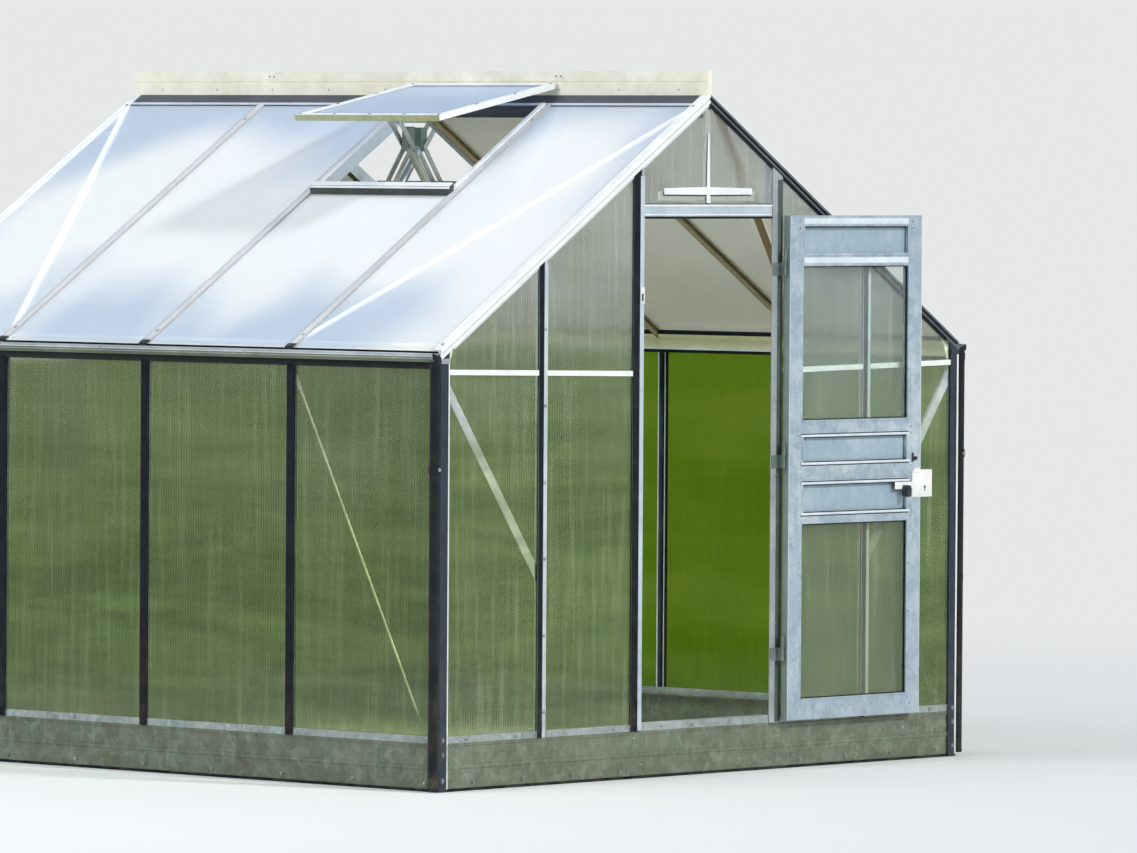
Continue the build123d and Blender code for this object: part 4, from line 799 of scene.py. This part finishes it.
# Side walls: seals beside each post. All walls: screws along the sill and bolts along the kerb
side_seal = Batch("side_seals", RUBBER, slot="rubber")
side_screws = fasteners("side_screws")
for side in SIDES:
    for bar in BARS:
        for y in (bar - 16.0, bar + 16.0):
            side_seal.block(side * 1200.8, side * 1203.4, y - 1.1, y + 1.1, SILL, 1262)
    for k in range(BAYS * 2 + 1):
        side_screws.pan(P(side * 1201.0, 40 + k * 297.5, 154.0), sideways(side), *SILL_SCREW)
        side_screws.hexbolt(P(side * 1201.0, 60 + k * 292.5, 24.0), sideways(side), *KERB_BOLT)
for x in (-1080, -860, -640, -420, 420, 640, 860, 1080, -200, -60, 60, 200):
    for y, s, face in ENDS:
        side_screws.pan(P(x, y + s * 4.0, 154.0), face, *SILL_SCREW)
        if abs(x) > DOOR:
            side_screws.hexbolt(P(x + 30, y + s * 4.0, 24.0), face, *KERB_BOLT)
finish(side_seal, side_screws)

# Kerb: two pressed swage lines along every side, and a dark band along the foot, painted shadow where the kerb meets
# the ground
kerb = Batch("kerb_swages", KERB_ZINC, slot="kerb", bevel=0.0012)
foot = Batch("kerb_foot_painted_shadow", RUBBER, slot="rubber")
SWAGES = ((66, 78), (134, 139))
for side in SIDES:
    for z0, z1 in SWAGES:
        kerb.block(side * 1200.6, side * 1203.6, 42, LENGTH - 42, z0, z1)
    foot.block(side * 1200.6, side * 1202.4, 42, LENGTH - 42, 0.2, 9)
for y, s, _ in ENDS:
    for z0, z1 in SWAGES:
        kerb.block(-1166, 1166, y + s * 1.4, y + s * 4.4, z0, z1)
    foot.block(-1166, 1166, y + s * 2.6, y + s * 4.4, 0.2, 9)
finish(kerb, foot)

# Threshold strip with its ribs, lintel lips and the seals over the doorway
sill = Batch("threshold_strip", SILL_ZINC, slot="galvanised", bevel=0.001)
sill.block(-299.0, 299.0, 4.6, 28.5, 164.6, 167.4)
for k in range(5):
    sill.block(-299.0, 299.0, 7.0 + k * 4.4, 8.6 + k * 4.4, 167.0, 168.4)
# The lintel lips take the sunlit aluminium, painted light
lint = Batch("lintel_lips", ALU_PAINTED_SUNLIT, bevel=0.0008)
lint.block(-299.4, 299.4, 1.4, 4.6, LINTEL_TOP - 5, LINTEL_TOP + 1.4)
lint.block(-299.4, 299.4, 2.0, 4.6, LINTEL + 4, LINTEL + 8)
lint_dark = Batch("lintel_seal", RUBBER, slot="rubber")
lint_dark.block(-299.4, 299.4, 2.6, 10.0, LINTEL - 6, LINTEL + 1.0)
lint_dark.block(-297.0, 297.0, 2.6, 4.3, LINTEL_TOP + 1.4, LINTEL_TOP + 4.0)
finish(sill, lint, lint_dark)

# Gable brace bolts
brace_bolts = fasteners("brace_bolts")
for side in SIDES:
    for y, s, _ in ENDS:
        for x, z in ((1160.0, 1191.0), (782.0, 659.0)):
            brace_bolts.hexbolt(P(side * x, y + s * 16.0, z), Vector((0, s, 0)), *BRACE_BOLT)
brace_bolts.done()

# Side braces: slim rods with flat ends, bolted behind the posts' lips
rods = Batch("side_brace_rods", SIDE_BRACE, slot="galvanised")
rod_bolts = fasteners("side_brace_bolts")
ROD_X = 1188.6
for side in SIDES:
    inward = sideways(-side)
    for y, s, _ in ENDS:
        low, high = P(side * ROD_X, y + s * 66.0, 168.0), P(side * ROD_X, y + s * 605.0, 1222.0)
        along = (high - low).normalized()
        rods.rod(low + along * 0.030, high - along * 0.030, 0.0034, 14)
        for end in (low + along * 0.020, high - along * 0.020):
            rods.box(end - inward * 0.0018, (0.014, 0.046, 0.003), along.cross(inward), inward)
            rod_bolts.hexbolt(end - inward * 0.0003, inward, 0.0052, 0.0045)
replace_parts(rods.done(), "side_braces")
rod_bolts.done()

# Vents: screws around the leaf, a seal around its sheet, a bead on its free edge in a painted green reflection, and
# sill caps and curb linings in sunlit white as painted light
vent_screws = fasteners("vent_screws")
vent_trim = Batch("vent_beads_painted_reflection", BEAD_PAINTED_REFLECTION)
vent_seals = Batch("vent_seals", GREY_SEAL, slot="rubber")
sill_caps = Batch("vent_sill_highlights", ALU_PAINTED_SUNLIT)
linings = Batch("vent_curb_highlights", ALU_PAINTED_SUNLIT)
LEAF_SCREWS = [(y, u) for u in (12.5, 180.0, 360.0, 532.5) for y in (15.0, 600.0)]
LEAF_SCREWS += [(y, 532.5) for y in (160.0, 307.0, 455.0)]
BEAD = ((545, -8.5), (545, 8.5), (547.5, 7.0), (547.5, -10.0), (541, -11.5), (540, -8.5))
for side, y0 in ((-1, BAY), (1, 2 * BAY)):
    down = Vector((side * VENT_COS, 0, -VENT_SIN))
    out = Vector((side * VENT_SIN, 0, VENT_COS))
    for y, u in LEAF_SCREWS:
        vent_screws.pan(V(side, y0 + y, u, 8.5), out, *VENT_SCREW)
    for u0, u1, ya, yb in ((25, 520, 28, 31), (25, 520, 584, 587), (22, 25, 28, 587), (520, 523, 28, 587)):
        ring = [V(side, y0 + y, u0, t) for y, t in corners(ya, yb, 2.5, 5.0)]
        vent_seals.extrude(ring, down * ((u1 - u0) / 1000.0))
    vent_trim.extrude([V(side, y0 + 3, u, t) for u, t in BEAD], along_y(BAY - 6.0))
    seat = 20.0 / COS
    ring = [P(side * x, y0 + 13.5, roof_z(x) + seat + up) for x, up in corners(472.4, 490.8, -0.1, 1.0)]
    sill_caps.extrude(ring, along_y(BAY - 27.0))
    ring = [P(side * x, y0 + 13.5, roof_z(490.0) + seat + up) for x, up in corners(489.8, 490.8, -7.5, 0.6)]
    sill_caps.extrude(ring, along_y(BAY - 27.0))
    for y in (y0 + 27.6, y0 + BAY - 28.4):
        ring = [P(side * x, y, roof_z(x) + up / COS) for x, up in corners(62.0, 471.5, 5.9, -33.0)]
        linings.extrude(ring, along_y(0.8))
finish(vent_screws, vent_trim, vent_seals, sill_caps, linings)

# ---- door dressing
# Between the stiles, and the lower and upper edge of each rail
X0, X1 = LEAF0 + 64.0, LEAF1 - 64.0
UPPER, MIDDLE = (LEAF_TOP - 157.0, LEAF_TOP - 116.0), (LEAF_TOP - 686.0, LEAF_TOP - 633.0)
LOCK, LOW = (LEAF_TOP - 833.0, LEAF_TOP - 764.0), (LEAF_TOP - 955.0, LEAF_TOP - 920.0)
PANELS = ((LOCK[1], MIDDLE[0]), (LOW[1], LOCK[0]), (UPPER[1], LEAF_TOP - 34.0))
PANES = ((MIDDLE[1], UPPER[0]), (LEAF_LOW + 65.0, LOW[0]))


def on_leaf(batch, x0, x1, d0, d1, z0, z1):
    """A block whose depths count from the leaf's front face."""
    batch.block(x0, x1, LEAF_Y + d0, LEAF_Y + d1, z0, z1)


folds = Batch("door_folds", DOOR_ZINC, body="door", slot="galvanised", bevel=0.0012)
dark = Batch("door_painted_shadows", RUBBER, body="door", slot="rubber")
lips = Batch("door_painted_highlights", HIGHLIGHT_WHITE, body="door", slot="galvanised")
# Pressed folds across the rails: height, width, how far each stands out and how far it runs over the stiles
for z, h, proud, over in ((UPPER[1] - 6, 6.0, 2.2, 2.0), (UPPER[0] + 4, 5.0, 1.6, 0.0), (MIDDLE[1] - 4, 6.0, 2.2, 2.0),
                          (LOW[0] + 4, 6.0, 2.2, 2.0), (LEAF_TOP - 30, 6.0, 2.2, 2.0), (LOCK[0] + 18, 5.0, 1.8, 0.0),
                          (LEAF_LOW + 61, 5.0, 1.8, 0.0)):
    on_leaf(folds, X0 - over, X1 + over, -proud, 0.6, z - h / 2, z + h / 2)
for z0, z1 in PANELS:
    on_leaf(folds, X0, X0 + 5, -1.5, 10, z0, z1)
    on_leaf(folds, X1 - 5, X1, -1.5, 10, z0, z1)
# Painted shadow in the recess around each pane
for z0, z1 in PANES:
    for x0, x1, za, zb in ((X0, X1, z0, z0 + 3), (X0, X1, z1 - 3, z1), (X0, X0 + 3, z0, z1), (X1 - 3, X1, z0, z1)):
        on_leaf(dark, x0, x1, 5.5, 9.6, za, zb)
# Rolled lips on the rails beside the sheets, drawn as painted highlights, with painted shadow lines above and below
# each
for z, lift, z0, z1 in ((MIDDLE[0], 4.0, -3.0, -0.2), (LOCK[1], -4.0, 0.2, 2.2), (LOCK[0], 4.0, -3.0, -0.2),
                        (LOW[1], -4.0, 0.2, 2.2)):
    lips.rod(P(X0 - 8.2, LEAF_Y - 0.5, z + lift), P(X1 + 8.2, LEAF_Y - 0.5, z + lift), 0.0041, 20)
    on_leaf(dark, X0 - 7.0, X1 + 7.0, -0.7, 0.4, z + lift * 2.05, z + lift * 2.7)
    on_leaf(dark, X0 + 0.5, X1 - 0.5, 0.2, 9.6, z + z0, z + z1)
# Painted highlights as pressed bands on the upper and the top rail, narrower in front than behind
for z, foot0, foot1, face0, face1, proud in (((UPPER[0] + UPPER[1]) / 2 - 2, -11, 9, -8, 6, 2.4),
                                             (LEAF_TOP, -28, -8, -26, -11, 1.6)):
    lips.hull(*([P(x, LEAF_Y + 0.4, z + foot0), P(x, LEAF_Y + 0.4, z + foot1),
                 P(inner, LEAF_Y - proud, z + face1), P(inner, LEAF_Y - proud, z + face0)]
                for x, inner in ((X0 + 1, X0 + 3), (X1 - 1, X1 - 3))))
# Painted shadow under the top rail
on_leaf(dark, X0 + 0.5, X1 - 0.5, 0.2, 9.6, LEAF_TOP - 37.5, LEAF_TOP - 34.2)
# Painted highlights along the stiles' outer edges
for x, r in ((LEAF0 + 1.0, 0.001), (LEAF1 - 1.4, 0.0016)):
    lips.rod(P(x, LEAF_Y - 0.2, LEAF_LOW + 1), P(x, LEAF_Y - 0.2, LEAF_TOP - 1), r, 10)
# Painted shadow along the right edge of each sheet panel
for z0, z1 in PANELS:
    on_leaf(dark, X1 - 2.4, X1 - 0.2, 0.2, 9.6, z0, z1)
finish(folds, dark, lips)

door_rivets = fasteners("door_rivets", "door")
for inset, r, rows in ((46, 0.0042, (1692, 1672, 1574, 1050, 1030, 930, 896, 772, 182)),
                       (56, 0.0034, (1400, 1230, 620, 470, 330))):
    for z in rows:
        for x in (LEAF0 + inset, LEAF1 - inset):
            door_rivets.rivet(P(x, LEAF_Y, z), FRONT, r)
# Painted shade: a grey-green skin on the leaf's hinge-side edge, which faces away from the light
edge = Batch("door_hinge_edge_shade", EDGE_PAINTED_SHADE, body="door", slot="rubber")
on_leaf(edge, LEAF0 - 0.7, LEAF0 + 0.4, 1.5, 24.0, LEAF_LOW + 2, LEAF_TOP - 2)
small_parts = Batch("door_small_hardware", BLACK_METAL, body="door", slot="dark_metal", bevel=0.0006)
on_leaf(small_parts, LEAF1 - 42, LEAF1 - 34, -3, 0.5, 938, 966)
small_parts.lathe(P(LEAF1 - 26, LEAF_Y, 949), FRONT, [(0, 0.006), (0.006, 0.006), (0.008, 0.0045), (0.008, 0)], 16)
# Near-white plates over the latch, painted light for its sunlit metal
latch = Batch("latch_trim", LATCH_PAINTED_SUNLIT, body="door", slot="galvanised", bevel=0.0006)
on_leaf(latch, LEAF1 - 126, LEAF1 - 41.5, -2.9, -2.0, LEAF_TOP - 856.6, LEAF_TOP - 834.4)
on_leaf(latch, LEAF1 - 39, LEAF1 + 54, -2.8, -2.0, 830, 909)
on_leaf(latch, LEAF1 - 36, LEAF1 - 6, -5.0, -2.0, 903, 917)
keyhole = Batch("latch_keyhole", BLACK_METAL, body="door", slot="dark_metal")
keyhole.lathe(P(LEAF1 + 20, LEAF_Y - 2.7, 858), FRONT, [(0, 0.0045), (0.0006, 0.0045), (0.0006, 0)], 16)
on_leaf(keyhole, LEAF1 + 18.4, LEAF1 + 21.6, -3.3, -2.7, 845, 858)
finish(door_rivets, edge, small_parts, latch, keyhole)


# ---- floor, light and camera
def stage_material(name, colour, near):
    """Pale and plain. Far off it is seen as its own flat colour, also through a sheet; close by it keeps the shadow."""
    m = Mat(name)
    m.set(Base_Color=colour, Roughness=0.95, Specular_IOR_Level=0.0)
    flat = m.node("ShaderNodeEmission", Color=colour, Strength=1.0)
    path = m.node("ShaderNodeLightPath").outputs
    indirect = m.math("MAXIMUM", path["Is Glossy Ray"], path["Is Transmission Ray"])
    seen = m.math("MAXIMUM", path["Is Camera Ray"], indirect)
    reach = m.node("ShaderNodeVectorMath")
    reach.operation = "LENGTH"
    m.link(m.co, reach.inputs[0])
    far = m.step(m.math("DIVIDE", reach.outputs["Value"], near), 0.30, 1.0, "EASE")
    mix_shaders(m.t, m.mul(seen, far), m.b, flat, m.out)
    return m.m


PALE = srgb(230, 232, 232)
FLOOR_HALF = 60
bm = bmesh.new()
bm.faces.new([bm.verts.new((x, y, 0)) for x, y in corners(-FLOOR_HALF, FLOOR_HALF, -FLOOR_HALF, FLOOR_HALF)])
mesh = bpy.data.meshes.new("floor")
bm.to_mesh(mesh)
bm.free()
floor = bpy.data.objects.new("floor", mesh)
bpy.context.scene.collection.objects.link(floor)
mesh.materials.append(stage_material("floor_pale", PALE, near=9.0))

# The world lights with a soft sky, and looks like the floor where it is seen
world = bpy.data.worlds.new("world")
bpy.context.scene.world = world
world.use_nodes = True
wt = world.node_tree
wt.nodes.clear()
world_out = wt.nodes.new("ShaderNodeOutputWorld")
sky, backdrop = wt.nodes.new("ShaderNodeBackground"), wt.nodes.new("ShaderNodeBackground")
sky.inputs[0].default_value, sky.inputs[1].default_value = (*srgb(232, 238, 246), 1), 0.52
backdrop.inputs[0].default_value, backdrop.inputs[1].default_value = (*PALE, 1), 1.0
path = wt.nodes.new("ShaderNodeLightPath").outputs
seen = wt.nodes.new("ShaderNodeMath")
seen.operation = "MAXIMUM"
wt.links.new(path["Is Camera Ray"], seen.inputs[0])
wt.links.new(path["Is Transmission Ray"], seen.inputs[1])
mix_shaders(wt, seen.outputs[0], sky, backdrop, world_out)

AIM = Vector((0, 0, 1.0))


def lamp(name, kind, at, energy, colour):
    data = bpy.data.lights.new(name, kind)
    data.energy, data.color = energy, colour
    o = bpy.data.objects.new(name, data)
    bpy.context.scene.collection.objects.link(o)
    o.location = at
    o.rotation_euler = (AIM - Vector(at)).to_track_quat("-Z", "Y").to_euler()
    return data


lamp("key", "SUN", (1.8, -8.0, 6.6), 2.1, (1.0, 0.985, 0.96)).angle = math.radians(7)
fill = lamp("fill", "AREA", (-7.5, 1.0, 8.0), 480.0, (0.95, 0.975, 1.0))
fill.shape, fill.size = "DISK", 6.0

# The camera, solved from the photograph: focal length in its pixels, angles in radians, place in millimetres
FOCAL, PHOTO_WIDTH, SENSOR = 9000.0, 1137.0, 36.0
YAW, DIP, ROLL = 0.84, 0.0303, -0.0066
EYE = P(-20779.67, -18054.23, 1895.80)
forward = Vector((math.sin(YAW) * math.cos(DIP), math.cos(YAW) * math.cos(DIP), -math.sin(DIP)))
level = Vector((math.cos(YAW), -math.sin(YAW), 0))
sunk = forward.cross(level)
right = level * math.cos(ROLL) + sunk * math.sin(ROLL)
down = sunk * math.cos(ROLL) - level * math.sin(ROLL)
cam_data = bpy.data.cameras.new("camera")
cam = bpy.data.objects.new("camera", cam_data)
bpy.context.scene.collection.objects.link(cam)
cam_data.sensor_fit = "HORIZONTAL"
cam_data.sensor_width = SENSOR
cam_data.lens = FOCAL * SENSOR / PHOTO_WIDTH
cam_data.clip_end = 300.0
place = Matrix.Identity(4)
for i in range(3):
    place[i] = (right[i], -down[i], -forward[i], EYE[i])
cam.matrix_world = place
bpy.context.scene.camera = cam
bpy.context.scene.view_settings.view_transform = "Standard"
